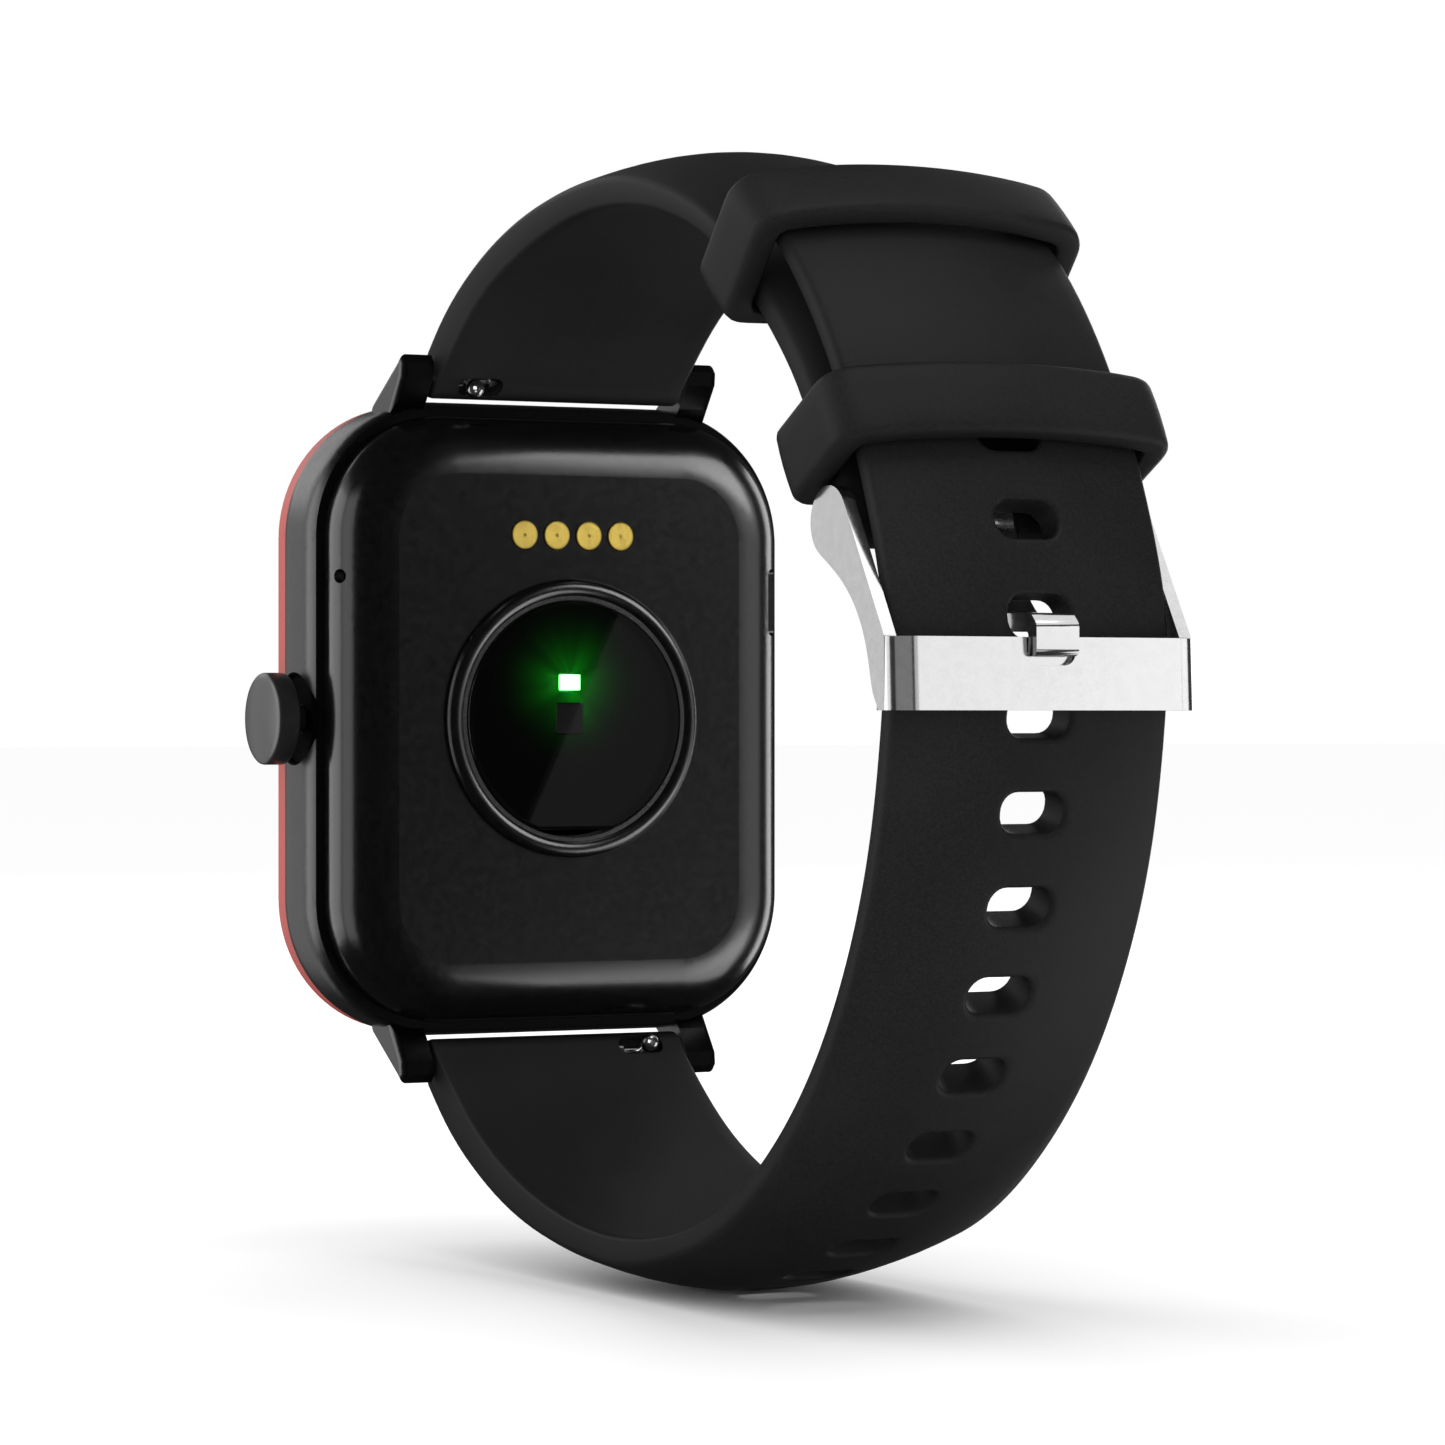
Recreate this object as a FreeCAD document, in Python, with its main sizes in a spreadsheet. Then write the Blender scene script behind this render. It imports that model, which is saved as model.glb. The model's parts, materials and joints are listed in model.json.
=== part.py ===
import FreeCAD, Part
import math
import os
import re
import Sketcher
from FreeCAD import Placement, Rotation, Vector

# A square smartwatch on a buckled silicone strap, in millimetres.
#   +Z runs to 12 o'clock, +X to the crown side, +Y from the case to the buckle.
#   The origin is the centre of the sensor glass, where the watch meets the wrist, so the display
#   faces -Y. "Depth" in the names below is measured from that glass towards the display.

DIMENSIONS = [
    # name, value, what it is
    ("case_half_width", 18.75, "mid frame, widest, half"),
    ("case_half_height", 22.6, "mid frame, tallest, half"),
    ("case_corner", 9.8, "outer corner radius of the mid frame"),
    ("rim_inset", 0.4, "how far the frame's rear edge draws in"),
    ("frame_rear_depth", 4.2, "rear rim of the mid frame"),
    ("frame_front_depth", 9.0, "front edge of the mid frame"),
    ("frame_wall", 1.65, "wall of the mid frame at its waist"),
    ("back_plane_depth", 0.7, "flat of the back cover"),
    ("back_inset", 1.05, "back cover outline, in from the frame's widest"),
    ("back_foot_depth", 4.05, "edge of the back cover that the gasket meets"),
    ("back_wall", 1.2, "wall of the back cover"),
    ("shoulder_width", 4.2, "soft shoulder of the back cover"),
    ("shoulder_rise", 3.0, "height of that shoulder"),
    ("skirt_depth", 4.8, "end of the cover's skirt inside the frame"),
    ("skirt_inset", 1.8, "skirt outline, in from the frame's widest"),
    ("skirt_wall", 0.8, "wall of the skirt"),
    ("ring_front_depth", 10.63, "front edge of the accent ring"),
    ("ring_inset", 0.15, "accent ring outline, in from the frame's widest"),
    ("ring_wall", 0.9, "accent ring beside the glass"),
    ("ring_ledge", 1.1, "step of the ring under the glass"),
    ("ring_ledge_depth", 9.9, "front of that step"),
    ("ring_edge", 0.35, "rounded front edge of the accent ring"),
    ("glass_front_depth", 10.9, "front of the cover glass"),
    ("glass_rear_depth", 10.1, "rear of the cover glass"),
    ("glass_gap", 0.08, "all-round gap of the glass in its ring"),
    ("glass_edge", 0.5, "rounded edge of the cover glass"),
    ("panel_rear_depth", 9.3, "rear of the display panel"),
    ("panel_gap", 0.2, "gap of the panel in the ring's step"),
    ("chassis_rear_depth", 8.75, "rear of the inner chassis plate"),
    ("chassis_front_depth", 9.25, "front of the inner chassis plate"),
    ("chassis_gap", 0.55, "gap between chassis and frame"),
    ("post_radius", 1.2, "screw post of the chassis"),
    ("post_across", 13.0, "screw posts, half spacing along X"),
    ("post_up", 15.5, "screw posts, half spacing along Z"),
    ("screw_radius", 0.5, "board screw shank"),
    ("screw_head_radius", 1.1, "board screw head"),
    ("screw_head_height", 0.5, "board screw head"),
    ("screw_length", 3.2, "board screw shank"),
    ("board_rear_depth", 3.3, "main board, side with the parts"),
    ("board_front_depth", 4.0, "main board, battery side"),
    ("post_foot", 0.1, "how far the posts and the motor reach into the chassis plate"),
    ("recess_length", 1.1, "slot in a screw's head"),
    ("recess_depth", 0.2, "slot in a screw's head"),
    ("recess_width", 0.3, "slot in a screw's head"),
    ("can_length", 10.0, "shield can along X"),
    ("can_height", 7.0, "shield can along Z"),
    ("can_across", -6.5, "shield can centre"),
    ("can_up", -12.5, "shield can centre"),
    ("tall_chip", 0.9, "shield can and motion sensor above the board"),
    ("processor_side", 6.0, "processor"),
    ("processor_tall", 0.8, "processor above the board"),
    ("processor_across", 6.5, "processor centre"),
    ("processor_up", -12.5, "processor centre"),
    ("sensor_chip_length", 2.5, "motion sensor along X"),
    ("sensor_chip_height", 3.0, "motion sensor along Z"),
    ("sensor_chip_across", 11.5, "motion sensor centre"),
    ("sensor_chip_up", -4.0, "motion sensor centre"),
    ("charger_side", 3.0, "charger chip"),
    ("low_chip", 0.7, "charger chip above the board"),
    ("charger_across", -8.5, "charger chip centre"),
    ("charger_up", 13.0, "charger chip centre"),
    ("flex_width", 9.0, "display flex"),
    ("flex_thickness", 0.12, "display flex"),
    ("flex_height", 10.0, "display flex"),
    ("flex_up", 12.0, "display flex centre"),
    ("board_half_width", 14.6, "main board"),
    ("board_half_height", 18.2, "main board"),
    ("board_corner", 5.5, "main board corner"),
    ("lens_radius", 8.45, "sensor glass"),
    ("lens_thickness", 1.4, "sensor glass"),
    ("lens_flat", 7.9, "flat of the sensor glass, below its centre"),
    ("bezel_radius", 8.98, "thin polished ring round the sensor glass"),
    ("bezel_depth", 0.3, "top of that ring"),
    ("ridge_outer_radius", 9.95, "raised ridge of the back cover"),
    ("ridge_inner_radius", 9.1, "raised ridge, inside"),
    ("ridge_height", 0.45, "raised ridge above the back plane"),
    ("ridge_edge", 0.3, "rounded top of the ridge"),
    ("seat_floor", 0.45, "floor under the sensor glass"),
    ("lens_edge", 0.25, "rounded edge of the sensor glass"),
    ("lens_gap", 0.04, "gap round the sensor glass"),
    ("sensor_hole_radius", 7.0, "hole in the seat of the sensor glass"),
    ("seat_depth", 1.45, "seat of the sensor glass"),
    ("baffle_radius", 6.8, "light baffle"),
    ("baffle_depth", 2.3, "rear side of the light baffle"),
    ("led_width", 1.63, "heart-rate LED"),
    ("led_height", 1.08, "heart-rate LED"),
    ("led_up", 2.6, "heart-rate LED above the centre"),
    ("led_depth", 1.6, "lit face of the LED"),
    ("diode_size", 2.06, "photodiode, square"),
    ("window_gap", 0.13, "gap round each sensor in its window"),
    ("sensor_board_radius", 6.5, "sensor board"),
    ("sensor_board_thickness", 0.6, "sensor board"),
    ("contact_radius", 1.0, "charging contact"),
    ("contact_pitch", 2.54, "spacing of the charging contacts"),
    ("contact_up", 13.08, "charging contacts above the centre"),
    ("contact_depth", 0.6, "face of the charging contacts"),
    ("contact_gap", 0.06, "gap round each contact"),
    ("mic_hole_radius", 0.5, "microphone hole"),
    ("mic_across", 17.31, "outer end of the microphone hole"),
    ("mic_depth", 2.43, "outer end of the microphone hole"),
    ("mic_up", 10.0, "microphone hole"),
    ("mic_run", 1.26, "microphone hole, along X"),
    ("mic_fall", 0.82, "microphone hole, along Y"),
    ("mic_width", 1.9, "microphone"),
    ("mic_thickness", 0.7, "microphone"),
    ("mic_height", 2.8, "microphone"),
    ("speaker_slot_length", 4.9, "speaker slot"),
    ("speaker_slot_width", 0.9, "speaker slot"),
    ("speaker_slot_up", 8.5, "speaker slot centre"),
    ("speaker_slot_depth", 1.95, "speaker slot centre"),
    ("speaker_slot_start", -19.7, "outer end of the speaker slot, X"),
    ("speaker_slot_end", -14.7, "inner end of the speaker slot, X"),
    ("speaker_slot_round", 0.4, "rounded ends of the speaker slot"),
    ("mesh_across", -15.9, "speaker mesh, X"),
    ("mesh_thickness", 0.3, "speaker mesh"),
    ("mesh_gap", 0.05, "gap of the speaker mesh in its slot"),
    ("speaker_width", 4.6, "speaker"),
    ("speaker_thickness", 2.8, "speaker"),
    ("speaker_height", 10.0, "speaker"),
    ("speaker_across", -13.6, "speaker centre"),
    ("speaker_up", 7.2, "speaker centre"),
    ("speaker_gap", 1.2, "gap between the main board and the speaker"),
    ("speaker_round", 0.8, "rounded corners of the speaker"),
    ("battery_width", 22.0, "battery pouch"),
    ("battery_height", 22.0, "battery pouch"),
    ("battery_thickness", 3.4, "battery pouch"),
    ("battery_up", -6.5, "battery centre"),
    ("battery_gap", 0.9, "gap between the main board and the battery"),
    ("battery_round", 1.2, "rounded long edges of the battery"),
    ("motor_radius", 4.0, "vibration motor"),
    ("motor_height", 2.8, "vibration motor"),
    ("motor_across", 8.5, "vibration motor centre"),
    ("motor_up", 11.2, "vibration motor centre"),
    ("motor_wall", 0.3, "can of the vibration motor"),
    ("motor_shaft_radius", 0.4, "shaft of the vibration motor"),
    ("rotor_radius", 3.3, "eccentric weight"),
    ("rotor_height", 1.4, "eccentric weight"),
    ("rotor_cut", 1.0, "cut face of the eccentric weight above its shaft"),
    ("running_gap", 0.05, "radial clearance of a shaft that turns"),
    ("crown_depth", 7.2, "crown axis"),
    ("crown_radius", 3.25, "crown cap"),
    ("crown_inner", 19.6, "inner face of the crown cap"),
    ("crown_outer", 21.5, "top of the crown's domed face"),
    ("crown_dome", 0.28, "dome of the crown cap"),
    ("crown_edge", 0.15, "rounded edges of the crown cap"),
    ("crown_travel", 0.6, "travel of the crown when it is pressed"),
    ("stem_radius", 0.95, "crown stem"),
    ("stem_end", 14.6, "inner end of the stem"),
    ("stem_bore_gap", 0.04, "radial clearance of the stem"),
    ("groove_radius", 0.55, "floor of the grooves of the stem"),
    ("seal_width", 0.4, "crown seal"),
    ("outer_seal_start", 17.4, "outer crown seal, X"),
    ("inner_seal_start", 16.7, "inner crown seal, X"),
    ("pocket_radius", 3.3, "round pocket behind the crown"),
    ("pocket_floor", 18.2, "floor of that pocket"),
    ("tube_end", 15.9, "inner end of the crown tube"),
    ("tube_radius", 1.5, "crown tube"),
    ("clip_radius", 1.45, "crown clip"),
    ("clip_thickness", 0.3, "crown clip"),
    ("clip_groove_start", 14.95, "groove of the crown clip, X"),
    ("clip_play", 0.1, "room for the clip in its groove"),
    ("plunger_radius", 0.6, "switch plunger"),
    ("plunger_length", 1.0, "switch plunger"),
    ("switch_gap", 0.7, "gap between the stem and the crown switch"),
    ("switch_length", 2.2, "crown switch along X"),
    ("switch_width", 3.0, "crown switch along Y"),
    ("switch_height", 3.6, "crown switch along Z"),
    ("lug_inner", 10.1, "inner face of a lug"),
    ("lug_width", 2.5, "lug"),
    ("lug_round", 0.5, "rounded edges of a lug"),
    ("lug_clearance", 0.15, "room past each tip in its lug"),
    ("bar_depth", 3.75, "spring bar axis"),
    ("bar_up", 24.15, "spring bar axis"),
    ("bar_radius", 0.75, "spring bar tube"),
    ("bar_bore", 0.5, "bore of the spring bar tube"),
    ("bar_half_length", 9.3, "spring bar tube"),
    ("tip_radius", 0.4, "tips of the spring bar"),
    ("tip_reach", 11.1, "end of each tip, inside its lug"),
    ("tip_gap", 0.05, "radial clearance of a tip in its lug"),
    ("release_travel", 1.15, "travel of the quick-release knob"),
    ("knob_across", 6.96, "quick-release knob"),
    ("knob_depth", 2.2, "centre of the knob's ball"),
    ("knob_up", 23.4, "centre of the knob's ball"),
    ("knob_radius", 0.7, "ball of the knob"),
    ("knob_neck", 0.3, "neck of the knob"),
    ("slide_inner", 4.2, "inner end of the sliding tip"),
    ("spring_wire", 0.14, "wire of the release spring"),
    ("spring_radius", 0.34, "mean radius of the release spring"),
    ("spring_start", -3.0, "fixed end of the release spring"),
    ("spring_turns", 12, "turns of the release spring"),
    ("strap_half_width", 9.8, "strap"),
    ("strap_nose", 1.5, "rounded strap end round the spring bar"),
    ("strap_tunnel", 0.8, "tunnel of the spring bar in the strap"),
    ("knob_slot_start", 5.0, "slot of the knob in the strap"),
    ("knob_slot_end", 8.1, "slot of the knob in the strap"),
    ("knob_slot_height", 1.7, "slot of the knob in the strap"),
    ("hole_count", 13, "slots of the long strap"),
    ("hole_length", 4.4, "slot, across the strap"),
    ("hole_width", 2.4, "slot, along the strap"),
    ("hole_round", 1.104, "rounded ends of a slot"),
    ("hole_pitch", 5.61, "spacing of the slots on the wrist side"),
    ("hole_tip_margin", 17.75, "last slot to the tip of the strap"),
    ("pin_across", 56.1, "buckle pin, Y"),
    ("pin_up", 11.9, "buckle pin, Z"),
    ("pin_radius", 0.8, "buckle pin"),
    ("pin_half_length", 10.6, "buckle pin"),
    ("strap_eye", 1.65, "strap end round the buckle pin"),
    ("notch_height", 6.4, "strap's notch for the tongue"),
    ("notch_drop", 1.0, "middle of that notch below the pin"),
    ("tongue_notch", 1.75, "half width of the strap's notch for the tongue"),
    ("arm_inner", 9.98, "inner face of a buckle arm"),
    ("arm_width", 0.85, "buckle arm"),
    ("boss_radius", 2.2, "round end of a buckle arm"),
    ("bar_notch", 1.75, "half width of the tongue's notch in the front bar"),
    ("bar_notch_floor", 3.4, "floor of that notch"),
    ("bar_notch_rear", 63.75, "rear of that notch, Y"),
    ("bar_top", 4.9, "top of the front bar"),
    ("tongue_half_width", 1.35, "tongue"),
    ("tongue_eye", 1.5, "tongue, round the pin"),
    ("tongue_edge", 0.3, "rounded edges of the tongue"),
    ("keeper_half_width", 12.0, "keeper loop, outside"),
    ("keeper_length", 4.9, "keeper loop along the strap"),
    ("keeper_side", 1.85, "side wall of a keeper loop"),
    ("keeper_top", 1.5, "outer wall of a keeper loop"),
    ("keeper_bottom", 1.0, "wrist-side wall of a keeper loop"),
    ("keeper_stack", 6.4, "inside of a keeper's arch above the strap's wrist side"),
    ("keeper_floor", 0.8, "inside of a keeper's floor below the strap's wrist side"),
    ("keeper_crown", 1.05, "arch of a keeper's inside"),
    ("keeper_outer_crown", 1.5, "arch of a keeper's outside"),
    ("keeper_round", 2.2, "outer corners of a keeper loop"),
    ("keeper_foot_round", 1.4, "outer corners of a keeper loop on the wrist side"),
    ("lower_keeper_y", 53.15, "lower keeper, on the strap's wrist side"),
    ("lower_keeper_z", 15.9, "lower keeper"),
    ("lower_keeper_turn", 29.5, "lower keeper, degrees from +Y"),
    ("upper_keeper_y", 43.55, "upper keeper, on the strap's wrist side"),
    ("upper_keeper_z", 27.5, "upper keeper"),
    ("upper_keeper_turn", 50.0, "upper keeper, degrees from +Y"),
]

# Each station of a strap half: the place (y, z) of its wrist side, the thickness at its edges and
# the extra height of the crown along its middle. From the spring bar to the free end.
STRAPS = {
    "short": [
        (-2.2, 23.9, 3.05, 0.3), (0.13, 25.95, 3.1, 0.4), (3.5, 28.5, 2.8, 0.6),
        (11.3, 31.85, 2.45, 1.2), (18.4, 33.45, 2.1, 1.8), (25.2, 33.8, 1.9, 2.1),
        (31.8, 32.85, 1.6, 2.2), (38.1, 30.6, 1.5, 2.2), (46.2, 24.6, 1.5, 2.1),
        (50.75, 19.6, 1.55, 2.0), (53.0, 15.6, 1.7, 1.6), (54.85, 12.0, 2.6, 0.5),
    ],
    "long": [
        (-2.2, -23.9, 3.05, 0.3), (1.1, -26.6, 3.1, 0.4), (5.0, -29.2, 2.8, 0.6),
        (11.0, -31.8, 2.45, 1.2), (18.0, -33.5, 2.1, 1.8), (25.2, -34.1, 1.9, 2.1),
        (32.3, -33.4, 1.6, 2.0), (39.7, -31.15, 1.4, 1.8), (46.4, -26.95, 1.3, 1.7),
        (51.9, -21.5, 1.3, 1.6), (55.9, -15.4, 1.3, 1.5), (58.85, -8.3, 1.3, 1.4),
        (60.4, -1.0, 1.3, 1.1), (60.75, 5.6, 1.25, 1.05), (59.1, 11.9, 1.2, 1.1),
        (56.55, 17.6, 1.2, 1.1), (53.0, 23.3, 1.2, 1.1), (48.45, 28.5, 1.1, 1.0),
        (46.35, 30.5, 0.9, 0.8),
    ],
}

# Side outlines as places (y, z), in order round the piece.
OUTLINES = {
    "lug": [(-7.6, 21.4), (-7.3, 22.7), (-3.3, 25.3), (-2.75, 25.75), (-2.3, 25.2), (-2.4, 24.2),
            (-3.6, 22.55), (-4.8, 21.4)],
    "arm": [(57.95, 13.1), (62.9, 5.0), (64.0, 4.9), (64.2, 0.5), (63.2, 0.5), (61.5, 1.7), (61.0, 3.8),
            (59.3, 6.8), (57.1, 8.8), (55.1, 10.0)],
    "bar": [(63.25, 4.9), (64.1, 4.9), (64.3, 0.5), (63.4, 0.5)],
    "tongue": [(57.2, 12.6), (59.3, 7.2), (60.2, 6.35), (64.2, 6.35), (64.9, 5.7), (64.9, 3.8), (63.9, 3.6),
               (63.9, 5.25), (61.0, 5.25), (59.2, 6.0), (55.6, 10.7)],
}

doc = FreeCAD.newDocument("smartwatch")
sheet = doc.addObject("Spreadsheet::Sheet", "dims")
nodes = {}


# ---- the spreadsheet, and expressions that read it -------------------------------------------

def write_sheet():
    rows = list(DIMENSIONS)
    for strap, stations in STRAPS.items():
        for count, station in enumerate(stations):
            for word, number in zip(("across", "up", "edge", "crown"), station):
                rows.append((f"{strap}_station_{count}_{word}", number, f"{strap} strap half"))
    for piece, corners in OUTLINES.items():
        for count, corner in enumerate(corners):
            for word, number in zip(("across", "up"), corner):
                rows.append((f"{piece}_corner_{count}_{word}", number, f"side outline of the {piece}"))
    for row, (name, number, note) in enumerate(rows, start=1):
        sheet.set(f"A{row}", name)
        sheet.set(f"B{row}", str(number))
        sheet.set(f"C{row}", note)
        sheet.setAlias(f"B{row}", name)
    doc.recompute()
    return {name for name, _, _ in rows}


aliases = write_sheet()


def bound(text):
    """An expression in the sheet's plain words, with each word led back to the sheet."""
    return re.sub(r"[a-z]\w+", lambda word: "dims." + word.group() if word.group() in aliases
                  else word.group(), str(text))


def value(text):
    """What an expression in the sheet's words comes to."""
    return float(sheet.evalExpression(bound(text)))


def link(thing, name, text):
    thing.setExpression(name, bound(text))


# ---- primitives and booleans, sized and placed by expressions --------------------------------

TURNS = {"x": Rotation(Vector(0, 1, 0), 90), "y": Rotation(Vector(1, 0, 0), -90), "z": Rotation()}


def place(thing, at):
    for axis, text in zip("xyz", at):
        link(thing, f"Placement.Base.{axis}", text)


def box(name, size, centre):
    thing = doc.addObject("Part::Box", name)
    for side, text in zip(("Length", "Width", "Height"), size):
        link(thing, side, text)
    place(thing, [f"({middle}) - ({side}) / 2" for middle, side in zip(centre, size)])
    return thing


def rod(name, axis, radius, start, length):
    thing = doc.addObject("Part::Cylinder", name)
    thing.Placement = Placement(Vector(), TURNS[axis])
    link(thing, "Radius", radius)
    link(thing, "Height", length)
    place(thing, start)
    return thing


def slanted_rod(name, radius, start, end):
    """A cylinder from one point to another."""
    thing = doc.addObject("Part::Cylinder", name)
    rise = [f"({last}) - ({first})" for first, last in zip(start, end)]
    thing.Placement = Placement(Vector(), Rotation(Vector(0, 0, 1), Vector(*[value(text) for text in rise])))
    link(thing, "Radius", radius)
    link(thing, "Height", "sqrt(" + " + ".join(f"({text})^2" for text in rise) + ")")
    place(thing, start)
    return thing


def cut(name, base, *tools):
    thing = doc.addObject("Part::Cut", name)
    thing.Base = base
    thing.Tool = tools[0] if len(tools) == 1 else fuse(name + "_tool", *tools)
    return thing


def fuse(name, *parts):
    thing = doc.addObject("Part::MultiFuse", name)
    thing.Shapes = list(parts)
    return thing


def rounded(name, base, radius, chosen):
    """A fillet of one radius on the edges that chosen(edge) picks."""
    doc.recompute()
    thing = doc.addObject("Part::Fillet", name)
    thing.Base = base
    size = value(radius)
    thing.Edges = [(count, size, size) for count, edge in enumerate(base.Shape.Edges, start=1)
                   if chosen(edge)]
    return thing


def node(name, thing):
    """Gives a finished sub-part its name."""
    thing.Label = name
    nodes[name] = thing
    return thing


def straight_along(edge, direction):
    """Whether an edge is a straight line along an axis."""
    if not isinstance(edge.Curve, Part.Line):
        return False
    return abs(abs(edge.tangentAt(edge.FirstParameter).dot(direction)) - 1) < 1e-6


# ---- sketches and bodies ---------------------------------------------------------------------

def plane(body, role):
    return next(item for item in body.Origin.OriginFeatures if item.Role == role)


def new_sketch(body, name, role, offset="0"):
    sketch = body.newObject("Sketcher::SketchObject", name)
    sketch.AttachmentSupport = (plane(body, role), [""])
    sketch.MapMode = "FlatFace"
    link(sketch, "AttachmentOffset.Base.z", offset)
    return sketch


def rounded_outline(sketch, half_width, half_height, corner):
    """A rounded rectangle about the sketch's origin, bound by three named constraints."""
    wide, tall, turn = value(half_width), value(half_height), value(corner)
    inner_w, inner_h = wide - turn, tall - turn
    corners = [((inner_w, tall), (wide, inner_h), (inner_w, inner_h), 0),
               ((-wide, inner_h), (-inner_w, tall), (-inner_w, inner_h), 1),
               ((-inner_w, -tall), (-wide, -inner_h), (-inner_w, -inner_h), 2),
               ((wide, -inner_h), (inner_w, -tall), (inner_w, -inner_h), 3)]
    arcs = []
    for _, _, (mid_x, mid_y), quarter in corners:
        circle = Part.Circle(Vector(mid_x, mid_y, 0), Vector(0, 0, 1), turn)
        start = quarter * math.pi / 2
        arcs.append(sketch.addGeometry(Part.ArcOfCircle(circle, start, start + math.pi / 2), False))
    ends = [(sketch.getPoint(arc, 2), sketch.getPoint(arcs[(turn_at + 1) % 4], 1))
            for turn_at, arc in enumerate(arcs)]
    lines = [sketch.addGeometry(Part.LineSegment(start, end), False) for start, end in ends]
    for count in range(4):
        following = (count + 1) % 4
        sketch.addConstraint(Sketcher.Constraint("Tangent", arcs[count], 2, lines[count], 1))
        sketch.addConstraint(Sketcher.Constraint("Tangent", lines[count], 2, arcs[following], 1))
        way = "Horizontal" if count % 2 == 0 else "Vertical"
        sketch.addConstraint(Sketcher.Constraint(way, lines[count]))
    for arc in arcs[1:]:
        sketch.addConstraint(Sketcher.Constraint("Equal", arcs[0], arc))
    limits = [("Top", "DistanceY", lines[0], half_height, tall),
              ("Bottom", "DistanceY", lines[2], half_height, -tall),
              ("Left", "DistanceX", lines[1], half_width, -wide),
              ("Right", "DistanceX", lines[3], half_width, wide)]
    for name, kind, line, text, number in limits:
        at = sketch.addConstraint(Sketcher.Constraint(kind, -1, 1, line, 1, number))
        sketch.renameConstraint(at, name)
        link(sketch, f"Constraints.{name}", text if number > 0 else f"-({text})")
    at = sketch.addConstraint(Sketcher.Constraint("Radius", arcs[0], turn))
    sketch.renameConstraint(at, "Corner")
    link(sketch, "Constraints.Corner", corner)


def side_outline(sketch, piece, above=1):
    """A closed polygon from the sheet's corners; each corner is bound by two constraints."""
    points = [(f"{piece}_corner_{at}_across", f"{above} * {piece}_corner_{at}_up")
              for at in range(len(OUTLINES[piece]))]
    corners = [Vector(value(first), value(second), 0) for first, second in points]
    lines = [sketch.addGeometry(Part.LineSegment(corner, corners[(count + 1) % len(corners)]), False)
             for count, corner in enumerate(corners)]
    for count, line in enumerate(lines):
        following = lines[(count + 1) % len(lines)]
        sketch.addConstraint(Sketcher.Constraint("Coincident", line, 2, following, 1))
        for kind, name, text, number in (
                ("DistanceX", f"First{count}", points[count][0], corners[count].x),
                ("DistanceY", f"Second{count}", points[count][1], corners[count].y)):
            at = sketch.addConstraint(Sketcher.Constraint(kind, -1, 1, line, 1, number))
            sketch.renameConstraint(at, name)
            link(sketch, f"Constraints.{name}", text)


def pad(body, sketch, length, midplane=False):
    feature = body.newObject("PartDesign::Pad", sketch.Name + "_pad")
    feature.Profile = sketch
    link(feature, "Length", length)
    feature.Midplane = midplane
    doc.recompute()
    return feature


def pocket_through(body, sketch):
    """Cuts a sketch through the whole body, both ways."""
    before = body.Shape.Volume
    feature = body.newObject("PartDesign::Pocket", sketch.Name + "_pocket")
    feature.Profile = sketch
    feature.Type = "ThroughAll"
    feature.Midplane = True
    doc.recompute()
    assert body.Shape.Volume < before, sketch.Name
    return feature


def pocket(body, sketch, length, reverse=False):
    before = body.Shape.Volume
    feature = body.newObject("PartDesign::Pocket", sketch.Name + "_pocket")
    feature.Profile = sketch
    feature.Reversed = reverse
    link(feature, "Length", length)
    doc.recompute()
    assert body.Shape.Volume < before, sketch.Name
    return feature


def loft(body, kind, sections):
    feature = body.newObject("PartDesign::" + kind, body.Name + "_" + kind.lower())
    feature.Profile = sections[0]
    feature.Sections = sections[1:]
    doc.recompute()
    return feature


def case_outline(body, name, inset, depth):
    """A sketch of the case's outline, drawn in by inset, at a depth from the sensor glass."""
    sketch = new_sketch(body, name, "XZ_Plane", depth)
    rounded_outline(sketch, f"case_half_width - ({inset})", f"case_half_height - ({inset})",
                    f"case_corner - ({inset})")
    return sketch


def slab(name, inset, rear, front):
    """A plate with the case's outline, from one depth to another."""
    body = doc.addObject("PartDesign::Body", name)
    pad(body, case_outline(body, name + "_outline", inset, rear), f"({front}) - ({rear})")
    return body


# ---- case ------------------------------------------------------------------------------------

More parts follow.
